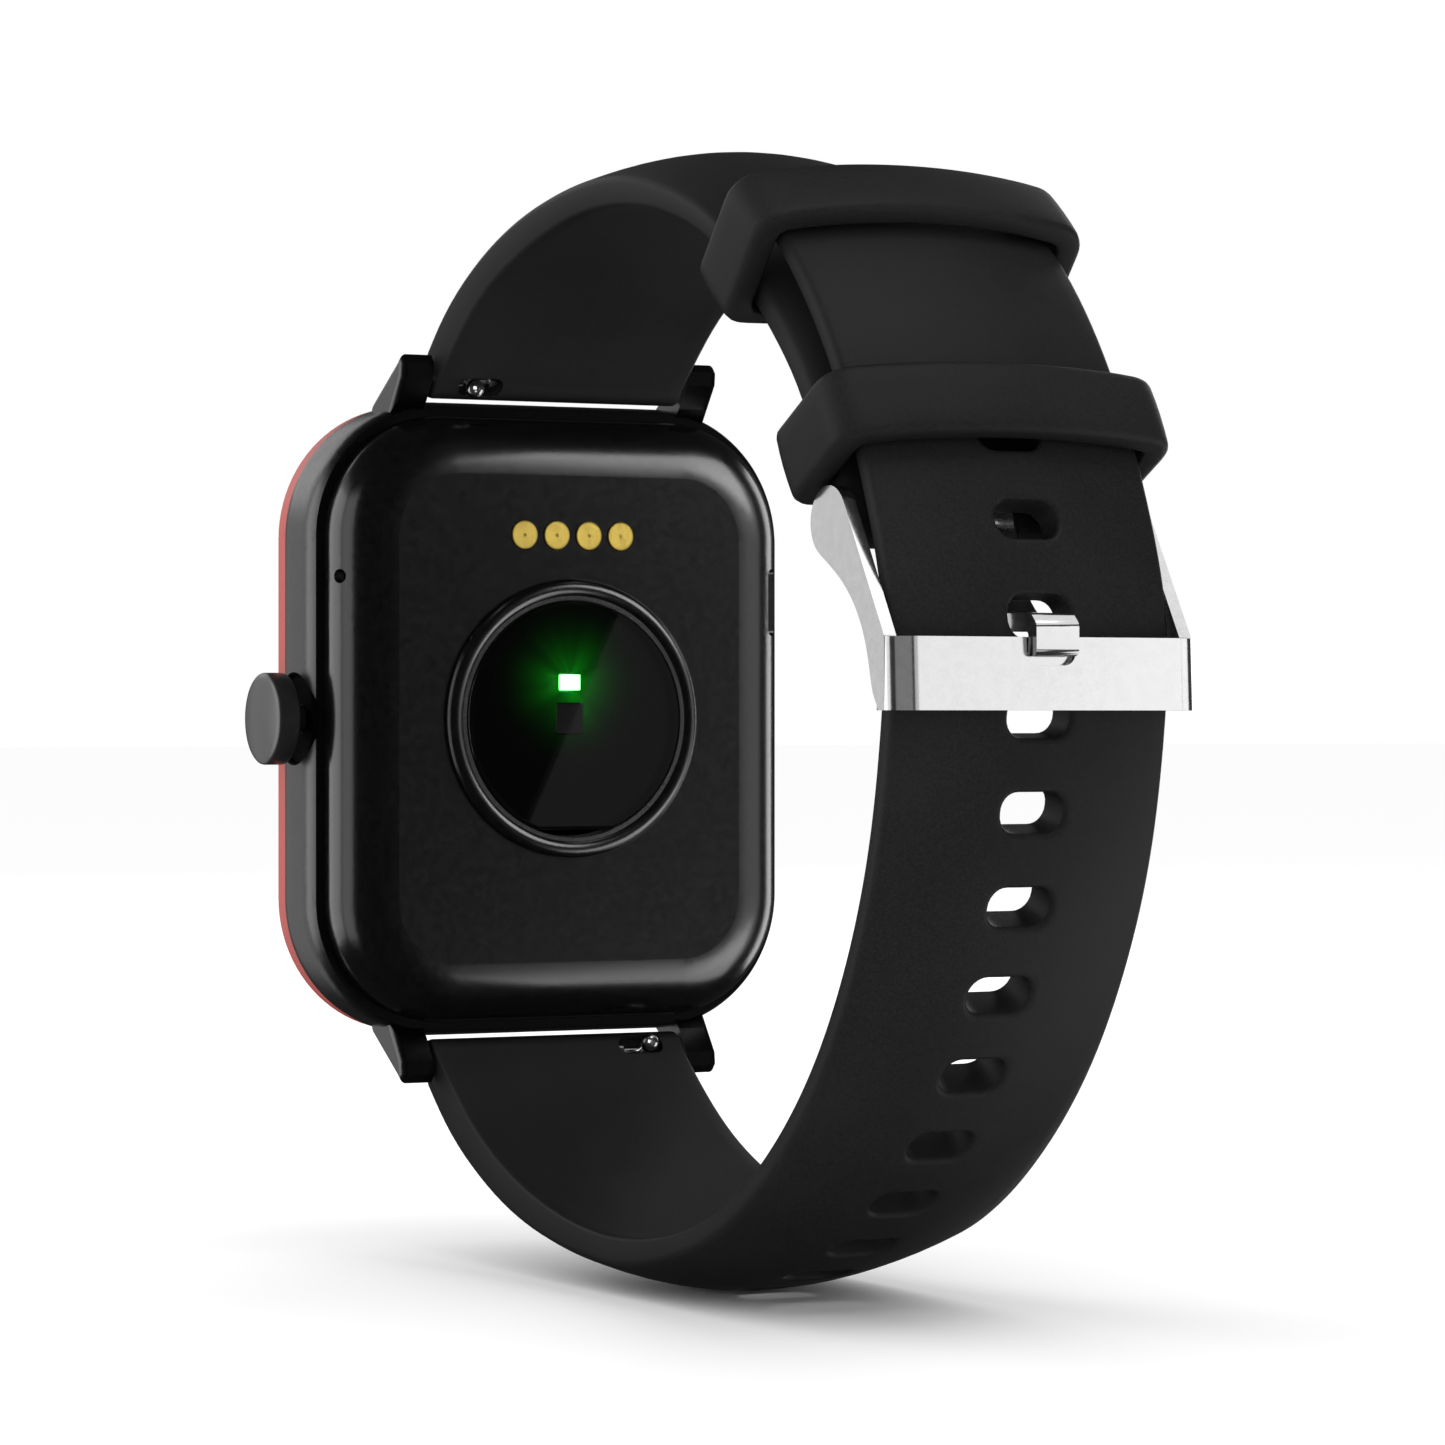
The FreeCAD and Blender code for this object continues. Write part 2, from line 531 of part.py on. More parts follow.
def make_mid_frame():
    body = doc.addObject("PartDesign::Body", "mid_frame")
    waist = [("rim_inset", "frame_rear_depth"),
             ("rim_inset * 0.35", "frame_rear_depth + 0.5"),
             ("0", "frame_rear_depth + 1.5"),
             ("0", "frame_front_depth - 1.6"),
             ("rim_inset * 0.25", "frame_front_depth")]
    loft(body, "AdditiveLoft", [case_outline(body, f"frame_ring_{count}", inset, depth)
                                for count, (inset, depth) in enumerate(waist)])
    pocket_through(body, case_outline(body, "frame_inside", "frame_wall", "frame_rear_depth"))

    lugs = []
    for above in (1, -1):
        lug = doc.addObject("PartDesign::Body", f"lug_{'top' if above > 0 else 'bottom'}")
        sketch = new_sketch(lug, lug.Name + "_side", "YZ_Plane", "lug_inner")
        side_outline(sketch, "lug", above)
        pad(lug, sketch, "lug_width")
        base_edge = value("lug_corner_6_up") - 0.05
        outer_half = value("lug_inner + lug_width / 2")

        def stands_out(edge):
            """Whether an edge of the lug's outer half lies clear of the case."""
            foot = min(edge.BoundBox.ZMax * above, edge.BoundBox.ZMin * above)
            return foot > base_edge and edge.CenterOfMass.x > outer_half

        rounded_lug = rounded(lug.Name + "_rounded", lug, "lug_round",
                              lambda edge: stands_out(edge) and not straight_along(edge, Vector(1, 0, 0)))
        other = doc.addObject("Part::Mirroring", lug.Name + "_mirrored")
        other.Source = rounded_lug
        other.Normal = Vector(1, 0, 0)
        lugs += [rounded_lug, other]
    tube = rod("crown_tube", "x", "tube_radius", ("tube_end", "-crown_depth", "0"),
               "case_half_width - frame_wall / 2 - tube_end")
    whole = fuse("frame_with_lugs", body, *lugs, tube)
    cavity = slab("frame_cavity", "frame_wall", "frame_rear_depth - 5", "frame_front_depth")
    keep_tube = cut("frame_cavity_clear", cavity,
                    box("tube_zone", ("4", "4", "4"), ("case_half_width - frame_wall", "-crown_depth", "0")))
    whole = cut("frame_open", whole, keep_tube)

    tools = [rod("crown_bore", "x", "stem_radius + stem_bore_gap",
                 ("tube_end - 1", "-crown_depth", "0"), "6"),
             rod("crown_pocket", "x", "pocket_radius", ("pocket_floor", "-crown_depth", "0"), "3")]
    for above in (1, -1):
        for side in (1, -1):
            start = "lug_inner - 0.5" if side > 0 else "-tip_reach - lug_clearance"
            tools.append(rod("lug_hole", "x", "tip_radius + tip_gap",
                             (start, "-bar_depth", f"{above} * bar_up"),
                             "tip_reach - lug_inner + lug_clearance + 0.5"))
    node("mid_frame", cut("mid_frame_done", whole, *tools))


def make_front():
    ring = slab("accent_ring", "ring_inset", "frame_front_depth", "ring_front_depth")
    pocket_through(ring, case_outline(ring, "ring_step_hole", "ring_inset + ring_wall + ring_ledge",
                                      "frame_front_depth"))
    pocket(ring, case_outline(ring, "ring_glass_seat", "ring_inset + ring_wall", "ring_ledge_depth"),
           "2", reverse=True)
    rim = rounded("accent_ring_rounded", ring, "ring_edge",
                  lambda edge: edge.BoundBox.YMin < value("-ring_front_depth + 0.01")
                  and edge.BoundBox.YMax < value("-ring_front_depth + 0.01")
                  and outermost(edge, "ring_inset"))
    node("accent_ring", rim)
    glass = slab("glass_slab", "ring_inset + ring_wall + glass_gap",
                 "glass_rear_depth", "glass_front_depth")
    node("cover_glass", rounded("glass_rounded", glass, "glass_edge",
                                lambda edge: edge.BoundBox.YMax < value("-glass_front_depth + 0.01")))
    gasket = slab("display_gasket", "ring_inset + ring_wall + glass_gap",
                  "ring_ledge_depth", "glass_rear_depth")
    pocket_through(gasket, case_outline(gasket, "display_gasket_hole",
                                        "ring_inset + ring_wall + ring_ledge", "ring_ledge_depth"))
    node("display_gasket", gasket)
    node("display_panel", slab("display_panel", "ring_inset + ring_wall + ring_ledge + panel_gap",
                               "panel_rear_depth", "glass_rear_depth"))


def outermost(edge, inset):
    """Whether an edge lies on the case's outline, drawn in by inset."""
    wide = value(f"case_half_width - ({inset})")
    tall = value(f"case_half_height - ({inset})")
    turn = value(f"case_corner - ({inset})")
    for point in edge.discretize(3):
        off_x = max(abs(point.x) - (wide - turn), 0)
        off_z = max(abs(point.z) - (tall - turn), 0)
        if abs(math.hypot(off_x, off_z) - turn) > 0.01 and abs(max(off_x, off_z) - turn) > 0.01:
            return False
    return True


def shoulder_sections(body, label, wall):
    """Outlines that follow the elliptical shoulder of the back cover, or its inside."""
    steps = 7
    sections = [case_outline(body, f"{label}_foot", f"back_inset + {wall}", "back_foot_depth")]
    for step in range(steps):
        turn = 90 * step / (steps - 1)
        sections.append(case_outline(
            body, f"{label}_{step}",
            f"back_inset + {wall} + shoulder_width * (1 - cos({turn} deg))",
            f"back_plane_depth + {wall} + shoulder_rise * (1 - sin({turn} deg))"
            + (f" - {wall} * (1 - sin({turn} deg))")))
    return sections


def make_back():
    outside = doc.addObject("PartDesign::Body", "cover_outside")
    loft(outside, "AdditiveLoft", shoulder_sections(outside, "cover_out", "0"))
    inside = doc.addObject("PartDesign::Body", "cover_inside")
    loft(inside, "AdditiveLoft", shoulder_sections(inside, "cover_in", "back_wall"))
    ridge = rod("sensor_ridge", "y", "ridge_outer_radius",
                ("0", "-back_plane_depth - 0.3", "0"), "ridge_height + 0.3")
    ridge = rounded("sensor_ridge_rounded", ridge, "ridge_edge",
                    lambda edge: edge.BoundBox.YMin > value("ridge_height - back_plane_depth - 0.01"))
    seat = rod("seat_block", "y", "ridge_outer_radius", ("0", "-seat_depth - seat_floor", "0"),
               "seat_depth + seat_floor - back_plane_depth - 0.1")
    skirt = slab("cover_skirt", "skirt_inset", "back_foot_depth - 0.3", "skirt_depth")
    pocket_through(skirt, case_outline(skirt, "cover_skirt_hole", "skirt_inset + skirt_wall",
                                       "back_foot_depth"))
    shell = cut("cover_shell", outside, inside)
    whole = fuse("cover_whole", shell, ridge, seat, skirt)
    slot = box("speaker_slot_box",
               ("speaker_slot_end - speaker_slot_start", "speaker_slot_width", "speaker_slot_length"),
               ("(speaker_slot_start + speaker_slot_end) / 2", "-speaker_slot_depth", "speaker_slot_up"))
    tools = [rod("lens_seat", "y", "ridge_inner_radius", ("0", "-seat_depth", "0"), "3"),
             rod("sensor_hole", "y", "sensor_hole_radius", ("0", "-4", "0"), "5"),
             slanted_rod("mic_hole", "mic_hole_radius",
                         ("mic_across - mic_run", "-mic_depth - mic_fall", "mic_up"),
                         ("mic_across + mic_run / 2", "-mic_depth + mic_fall / 2", "mic_up")),
             rounded("speaker_slot", slot, "speaker_slot_round",
                     lambda edge: straight_along(edge, Vector(1, 0, 0)))]
    for count in range(4):
        tools.append(rod("contact_hole", "y", "contact_radius + contact_gap",
                         (f"contact_pitch * ({count} - 1.5)", "-4", "contact_up"), "5"))
    node("back_cover", cut("back_cover_done", whole, *tools))

    gasket = slab("back_gasket", "back_inset + 0.05", "back_foot_depth", "frame_rear_depth")
    pocket_through(gasket, case_outline(gasket, "back_gasket_hole", "skirt_inset - 0.05",
                                        "back_foot_depth"))
    node("back_gasket", gasket)


def make_sensor():
    lens = rod("lens_disc", "y", "lens_radius", ("0", "-lens_thickness", "0"), "lens_thickness")
    below = box("lens_flat_cut", ("20", "4", "4"), ("0", "0", "-lens_flat - 2"))
    lens = cut("lens_with_flat", lens, below)
    node("sensor_lens", rounded("lens_rounded", lens, "lens_edge",
                                lambda edge: edge.BoundBox.YMin > -0.01))
    ring = rod("bezel_disc", "y", "bezel_radius", ("0", "-seat_depth", "0"), "seat_depth - bezel_depth")
    hole = rod("bezel_hole", "y", "lens_radius + lens_gap", ("0", "-seat_depth - 1", "0"), "4")
    node("sensor_ring", cut("sensor_ring_done", ring, hole))

    baffle = rod("baffle_disc", "y", "baffle_radius", ("0", "-baffle_depth", "0"),
                 "baffle_depth - seat_depth + 0.03")
    led_window = box("led_window", ("led_width + 2 * window_gap", "4", "led_height + 2 * window_gap"),
                     ("0", "-baffle_depth", "led_up"))
    diode_window = box("diode_window", ("diode_size + 2 * window_gap", "4", "diode_size + 2 * window_gap"),
                       ("0", "-baffle_depth", "0"))
    node("sensor_baffle", cut("sensor_baffle_done", baffle, led_window, diode_window))
    node("heart_rate_led", box("heart_rate_led", ("led_width", "baffle_depth - led_depth", "led_height"),
                               ("0", "-(baffle_depth + led_depth) / 2", "led_up")))
    node("photodiode", box("photodiode", ("diode_size", "baffle_depth - led_depth", "diode_size"),
                           ("0", "-(baffle_depth + led_depth) / 2", "0")))
    node("sensor_board", rod("sensor_board", "y", "sensor_board_radius",
                             ("0", "-baffle_depth - sensor_board_thickness", "0"), "sensor_board_thickness"))
    contacts = [rod("charge_contact", "y", "contact_radius",
                    (f"contact_pitch * ({count} - 1.5)", "-board_rear_depth", "contact_up"),
                    "board_rear_depth - contact_depth") for count in range(4)]
    group = doc.addObject("Part::Compound", "charge_contacts")
    group.Links = contacts
    node("charge_contacts", group)


def make_inside():
    posts = [rod("chassis_post", "y", "post_radius",
                 (f"{side} * post_across", "-chassis_rear_depth - post_foot", f"{above} * post_up"),
                 "chassis_rear_depth + post_foot - board_front_depth")
             for side in (1, -1) for above in (1, -1)]
    plate = slab("chassis_plate", "frame_wall + chassis_gap", "chassis_rear_depth", "chassis_front_depth")
    holes = [rod("chassis_hole", "y", "screw_radius",
                 (f"{side} * post_across", "-board_rear_depth - screw_length", f"{above} * post_up"),
                 "screw_length") for side in (1, -1) for above in (1, -1)]
    node("inner_chassis", cut("inner_chassis_done", fuse("chassis_whole", plate, *posts), *holes))

    board = doc.addObject("PartDesign::Body", "board")
    sketch = new_sketch(board, "board_outline", "XZ_Plane", "board_rear_depth")
    rounded_outline(sketch, "board_half_width", "board_half_height", "board_corner")
    pad(board, sketch, "board_front_depth - board_rear_depth")
    board_holes = [rod("board_hole", "y", "screw_radius",
                       (f"{side} * post_across", "-board_front_depth - 1", f"{above} * post_up"), "4")
                   for side in (1, -1) for above in (1, -1)]
    node("main_board", cut("main_board_done", board, *board_holes))

    screws = []
    for side in (1, -1):
        for above in (1, -1):
            where = (f"{side} * post_across", "-board_rear_depth", f"{above} * post_up")
            head = rod("screw_head", "y", "screw_head_radius", where, "screw_head_height")
            shank = rod("screw_shank", "y", "screw_radius",
                        (where[0], "-board_rear_depth - screw_length", where[2]), "screw_length + 0.1")
            recess = box("screw_recess", ("recess_length", "2 * recess_depth", "recess_width"),
                         (where[0], "-board_rear_depth + screw_head_height", where[2]))
            screws.append(cut("board_screw", fuse("screw_whole", head, shank), recess))
    group = doc.addObject("Part::Compound", "board_screws")
    group.Links = screws
    node("board_screws", group)

    def on_board(name, length, tall, height, across, up):
        """A box that stands on the board's rear side."""
        return box(name, (length, tall, height), (across, f"-board_rear_depth + {tall} / 2", up))

    node("shield_can", on_board("shield_can", "can_length", "tall_chip", "can_height",
                                "can_across", "can_up"))
    chips = doc.addObject("Part::Compound", "board_chips")
    chips.Links = [on_board("processor", "processor_side", "processor_tall", "processor_side",
                            "processor_across", "processor_up"),
                   on_board("motion_sensor", "sensor_chip_length", "tall_chip", "sensor_chip_height",
                            "sensor_chip_across", "sensor_chip_up"),
                   on_board("charger_chip", "charger_side", "low_chip", "charger_side",
                            "charger_across", "charger_up")]
    node("board_chips", chips)
    node("microphone", on_board("microphone", "mic_width", "mic_thickness", "mic_height",
                                "board_half_width - 1.2", "mic_up"))
    pouch = box("battery_pouch", ("battery_width", "battery_thickness", "battery_height"),
                ("0", "-board_front_depth - battery_gap - battery_thickness / 2", "battery_up"))
    node("battery", rounded("battery_rounded", pouch, "battery_round",
                            lambda edge: straight_along(edge, Vector(0, 0, 1))))
    node("display_flex", box("display_flex", ("flex_width", "flex_thickness", "flex_height"),
                             ("0", "-chassis_rear_depth + post_foot", "flex_up")))

    motor_at = ("motor_across", "-chassis_rear_depth + post_foot", "motor_up")
    can = rod("motor_can", "y", "motor_radius", motor_at, "motor_height")
    hollow = rod("motor_hollow", "y", "motor_radius - motor_wall",
                 ("motor_across", f"{motor_at[1]} + motor_wall", "motor_up"), "motor_height - 2 * motor_wall")
    shaft = rod("motor_shaft", "y", "motor_shaft_radius", motor_at, "motor_height")
    node("vibration_motor", fuse("vibration_motor_done", cut("motor_shell", can, hollow), shaft))
    weight_at = ("motor_across", f"{motor_at[1]} + (motor_height - rotor_height) / 2", "motor_up")
    weight = rod("rotor_disc", "y", "rotor_radius", weight_at, "rotor_height")
    half = box("rotor_half", ("2 * motor_radius", "motor_height", "motor_radius"),
               ("motor_across", f"{motor_at[1]} + motor_height / 2",
                "motor_up + rotor_cut + motor_radius / 2"))
    bore = rod("rotor_bore", "y", "motor_shaft_radius + running_gap",
               ("motor_across", "-chassis_rear_depth - 1", "motor_up"), "5")
    node("motor_rotor", cut("motor_rotor_done", weight, half, bore))

    speaker = box("speaker_box", ("speaker_width", "speaker_thickness", "speaker_height"),
                  ("speaker_across", "-board_front_depth - speaker_gap - speaker_thickness / 2", "speaker_up"))
    node("speaker", rounded("speaker_rounded", speaker, "speaker_round",
                            lambda edge: straight_along(edge, Vector(0, 1, 0))))
    node("speaker_mesh", box("speaker_mesh",
                             ("mesh_thickness", "speaker_slot_width - 2 * mesh_gap",
                              "speaker_slot_length - 2 * speaker_slot_round"),
                             ("mesh_across", "-speaker_slot_depth", "speaker_slot_up")))


# ---- crown -----------------------------------------------------------------------------------

def make_crown():
    axis_y = "-crown_depth"
    dome_radius = "(crown_radius^2 + crown_dome^2) / (2 * crown_dome)"
    dome = doc.addObject("Part::Sphere", "crown_dome_ball")
    link(dome, "Radius", dome_radius)
    place(dome, (f"crown_outer - {dome_radius}", axis_y, "0"))
    cap = doc.addObject("Part::Common", "crown_cap_domed")
    cap.Base = rod("crown_cap", "x", "crown_radius", ("crown_inner", axis_y, "0"),
                   "crown_outer - crown_inner")
    cap.Tool = dome
    cap = rounded("crown_cap_rounded", cap, "crown_edge",
                  lambda edge: isinstance(edge.Curve, Part.Circle))
    stem = rod("crown_stem", "x", "stem_radius", ("stem_end", axis_y, "0"), "crown_inner - stem_end + 0.5")
    whole = fuse("crown_whole", cap, stem)
    grooves = []
    for name, start, width in (("seal_groove_outer", "outer_seal_start", "seal_width"),
                               ("seal_groove_inner", "inner_seal_start", "seal_width"),
                               ("clip_groove", "clip_groove_start", "clip_thickness")):
        band = rod(name + "_band", "x", "stem_radius + 1", (start, axis_y, "0"), width)
        core = rod(name + "_core", "x", "groove_radius", (start, axis_y, "0"), width)
        grooves.append(cut(name, band, core))
    node("crown", cut("crown_done", whole, *grooves))

    seals = []
    for start in ("outer_seal_start", "inner_seal_start"):
        outer = rod("seal_outer", "x", "stem_radius + stem_bore_gap / 2",
                    (start, axis_y, "0"), "seal_width")
        inner = rod("seal_inner", "x", "groove_radius", (start, axis_y, "0"), "seal_width")
        seals.append(cut("crown_seal", outer, inner))
    group = doc.addObject("Part::Compound", "crown_seals")
    group.Links = seals
    node("crown_seals", group)

    clip = rod("clip_disc", "x", "clip_radius", ("clip_groove_start + clip_play / 2", axis_y, "0"),
               "clip_thickness - clip_play")
    clip_hole = rod("clip_hole", "x", "groove_radius + running_gap", ("stem_end", axis_y, "0"), "2")
    clip_mouth = box("clip_mouth", ("2", "2 * (groove_radius + running_gap)", "2"),
                     ("clip_groove_start", axis_y, "-1"))
    node("crown_clip", cut("crown_clip_done", clip, clip_hole, clip_mouth))

    switch_front = "stem_end - switch_gap"
    switch = box("switch_box", ("switch_length", "switch_width", "switch_height"),
                 (f"{switch_front} - switch_length / 2", axis_y, "0"))
    switch_bore = rod("switch_bore", "x", "plunger_radius + running_gap",
                      (f"{switch_front} - plunger_length - crown_travel + 0.2", axis_y, "0"), "4")
    node("crown_switch", cut("crown_switch_done", switch, switch_bore))
    node("switch_plunger", rod("switch_plunger", "x", "plunger_radius",
                               ("stem_end - 0.03 - plunger_length", axis_y, "0"), "plunger_length"))


# ---- quick-release spring bars ---------------------------------------------------------------

def make_spring_bar(name, above, side):
    """The bar of one strap half. Its sliding tip is on the given side."""
    axis = ("-bar_depth", f"{above} * bar_up")

    def along(tag, radius, first, last):
        """A rod on the bar's axis; first and last count from the middle towards the sliding tip."""
        start = first if side > 0 else f"-({last})"
        return rod(f"{tag}_{name}", "x", radius, (start, *axis), f"({last}) - ({first})")

    tube = cut(f"tube_open_{name}", along("tube", "bar_radius", "-bar_half_length", "bar_half_length"),
               along("tube_bore", "bar_bore", "spring_start", "bar_half_length + 1"))
    window = box(f"tube_window_{name}", ("release_travel + 2 * knob_neck + 0.3", "2", "4 * knob_neck"),
                 (f"{side} * (knob_across - release_travel / 2)", "-bar_depth + bar_radius",
                  f"{above} * (bar_up - knob_neck)"))
    node(f"spring_bar_tube_{name}", cut(f"tube_done_{name}", tube, window))
    node(f"fixed_tip_{name}", along("fixed_tip", "tip_radius", "-tip_reach", "-bar_half_length"))

    slider = along("slider", "tip_radius", "slide_inner", "tip_reach")
    ball_at = (f"{side} * knob_across", "-knob_depth", f"{above} * knob_up")
    neck = slanted_rod(f"neck_{name}", "knob_neck", (f"{side} * knob_across", *axis), ball_at)
    ball = doc.addObject("Part::Sphere", f"ball_{name}")
    link(ball, "Radius", "knob_radius")
    place(ball, ball_at)
    node(f"release_tip_{name}", fuse(f"release_done_{name}", slider, neck, ball))

    coil = doc.addObject("Part::Helix", f"coil_{name}")
    link(coil, "Radius", "spring_radius")
    link(coil, "Pitch", "(slide_inner - spring_start - 2 * spring_wire) / spring_turns")
    link(coil, "Height", "slide_inner - spring_start - 2 * spring_wire")
    doc.recompute()
    round_wire = Part.Circle(Vector(value("spring_radius"), 0, 0), Vector(0, 1, 0), value("spring_wire"))
    wire = Part.Wire(round_wire.toShape())
    spring = doc.addObject("Part::Feature", f"spring_{name}")
    spring.Shape = Part.Wire(coil.Shape.Edges).makePipeShell([wire], True, True)
    start = Vector(side * value("spring_start + spring_wire"), -value("bar_depth"), above * value("bar_up"))
    spring.Placement = Placement(start, Rotation(Vector(0, 0, 1), Vector(side, 0, 0)))
    node(f"release_spring_{name}", spring)


# ---- strap -----------------------------------------------------------------------------------

def strap_path(strap):
    """The wrist side of a strap half as a curve in the YZ plane, and its stations' points."""
    count = len(STRAPS[strap])
    points = [Vector(0, value(f"{strap}_station_{at}_across"), value(f"{strap}_station_{at}_up"))
              for at in range(count)]
    curve = Part.BSplineCurve()
    curve.interpolate(points)
    return curve, points


def outward(strap, curve, parameter):
    """Degrees from +Y of the strap's outer side."""
    run = curve.tangent(parameter)[0]
    across, up = (-run.z, run.y) if strap == "short" else (run.z, -run.y)
    return math.degrees(math.atan2(up, across))


def strap_section(body, strap, at, centre, turn):
    """Flat on the wrist side, square edges, and an arched outer side."""
    edge_text = f"{strap}_station_{at}_edge"
    crown_text = f"{strap}_station_{at}_crown"
    wide, edge, crown = value("strap_half_width"), value(edge_text), value(crown_text)
    sketch = body.newObject("Sketcher::SketchObject", f"{strap}_section_{at}")
    sketch.AttachmentSupport = (plane(body, "XY_Plane"), [""])
    sketch.MapMode = "FlatFace"
    sketch.AttachmentOffset = Placement(centre, Rotation(Vector(1, 0, 0), turn))
    radius = (wide ** 2 + crown ** 2) / (2 * crown)
    middle = edge + crown - radius
    reach = math.atan2(edge - middle, wide)
    circle = Part.Circle(Vector(0, middle, 0), Vector(0, 0, 1), radius)
    corners = [Vector(-wide, edge, 0), Vector(-wide, 0, 0), Vector(wide, 0, 0), Vector(wide, edge, 0)]
    lines = [sketch.addGeometry(Part.LineSegment(first, second), False)
             for first, second in zip(corners, corners[1:])]
    arch = sketch.addGeometry(Part.ArcOfCircle(circle, reach, math.pi - reach), False)
    rules = [("Coincident", lines[0], 2, lines[1], 1), ("Coincident", lines[1], 2, lines[2], 1),
             ("Coincident", lines[2], 2, arch, 1), ("Coincident", arch, 2, lines[0], 1),
             ("Vertical", lines[0]), ("Horizontal", lines[1]), ("Vertical", lines[2]),
             ("PointOnObject", arch, 3, -2), ("PointOnObject", lines[1], 1, -1)]
    for rule in rules:
        sketch.addConstraint(Sketcher.Constraint(*rule))
    sizes = [("HalfWidth", ("DistanceX", -1, 1, lines[1], 2), "strap_half_width", wide),
             ("Edge", ("DistanceY", -1, 1, lines[2], 2), edge_text, edge),
             ("Arch", ("Radius", arch),
              f"(strap_half_width^2 + {crown_text}^2) / (2 * {crown_text})", radius)]
    for name, rule, text, number in sizes:
        added = sketch.addConstraint(Sketcher.Constraint(*rule, number))
        sketch.renameConstraint(added, name)
        link(sketch, f"Constraints.{name}", text)
    return sketch


def strap_band(strap):
    curve, points = strap_path(strap)
    body = doc.addObject("PartDesign::Body", f"{strap}_band")
    sections = [strap_section(body, strap, at, point, outward(strap, curve, curve.parameter(point)))
                for at, point in enumerate(points)]
    loft(body, "AdditiveLoft", sections)
    return body, curve


def knob_slot(above, side):
    return box("knob_slot", ("knob_slot_end - knob_slot_start", "3", "knob_slot_height"),
               (f"{side} * (knob_slot_start + knob_slot_end) / 2", "-bar_depth + 1.5",
                f"{above} * (bar_up + knob_up) / 2"))


def strap_end(above):
    nose = rod("strap_nose_rod", "x", "strap_nose",
               ("-strap_half_width", "-bar_depth", f"{above} * bar_up"), "2 * strap_half_width")
    tunnel = rod("strap_tunnel_rod", "x", "strap_tunnel",
                 ("-strap_half_width - 1", "-bar_depth", f"{above} * bar_up"), "2 * strap_half_width + 2")
    return nose, tunnel


def hole_cutters(curve):
    """Rounded slots across the long strap, evenly spaced back from its tip."""
    length, width = value("hole_length"), value("hole_width")
    slots = []
    for count in range(int(value("hole_count"))):
        back = value("hole_tip_margin") + count * value("hole_pitch")
        parameter = curve.parameterAtDistance(curve.length() - back, curve.FirstParameter)
        slot = Part.makeBox(length, 12, width, Vector(-length / 2, -6, -width / 2))
        slot = slot.makeFillet(value("hole_round"),
                               [edge for edge in slot.Edges if straight_along(edge, Vector(0, 1, 0))])
        turn = outward("long", curve, parameter)
        slot.Placement = Placement(curve.value(parameter), Rotation(Vector(1, 0, 0), turn))
        slots.append(slot)
    cutters = doc.addObject("Part::Feature", "hole_cutters")
    cutters.Shape = Part.makeCompound(slots)
    return cutters


def make_straps():
    band, curve = strap_band("long")
    nose, tunnel = strap_end(-1)
    node("strap_long", cut("strap_long_done", fuse("long_whole", band, nose), tunnel, knob_slot(-1, -1),
                           hole_cutters(curve)))
    band, curve = strap_band("short")
    nose, tunnel = strap_end(1)
    eye = rod("strap_eye_rod", "x", "strap_eye",
              ("-strap_half_width", "pin_across", "pin_up"), "2 * strap_half_width")
    eye_bore = rod("strap_eye_bore", "x", "pin_radius + running_gap",
                   ("-strap_half_width - 1", "pin_across", "pin_up"), "2 * strap_half_width + 2")
    notch = box("strap_notch", ("2 * tongue_notch", "8", "notch_height"),
                ("0", "pin_across", "pin_up - notch_drop"))
    node("strap_short", cut("strap_short_done", fuse("short_whole", band, nose, eye), tunnel, knob_slot(1, 1),
                            eye_bore, notch))


def make_keeper(name):
    """A loop round both strap halves: arched outside, with its length along the strap."""
    body = doc.addObject("PartDesign::Body", name)
    shapes = [("outer", "keeper_half_width", "-keeper_floor - keeper_bottom",
               "keeper_stack + keeper_top - keeper_outer_crown", "keeper_outer_crown"),
              ("inner", "keeper_half_width - keeper_side", "-keeper_floor",
               "keeper_stack - keeper_crown", "keeper_crown")]
    for part, half, low, high, rise in shapes:
        outline = new_sketch(body, f"{name}_{part}", "XY_Plane")
        arched_outline(outline, half, low, high, rise)
        if part == "outer":
            pad(body, outline, "keeper_length", midplane=True)
        else:
            pocket_through(body, outline)
    inner_wall = value("keeper_half_width - keeper_side") + 0.01

    def outer_corner(edge, upper):
        return (straight_along(edge, Vector(0, 0, 1)) and abs(edge.CenterOfMass.x) > inner_wall
                and (edge.CenterOfMass.y > 0) == upper)

    loop = rounded(name + "_outer_rounded", body, "keeper_round", lambda edge: outer_corner(edge, True))
    loop = rounded(name + "_foot_rounded", loop, "keeper_foot_round", lambda edge: outer_corner(edge, False))
    loop.Placement = Placement(Vector(), Rotation(Vector(1, 0, 0), value(f"{name}_turn")))
    place(loop, ("0", f"{name}_y", f"{name}_z"))
    node(name, loop)


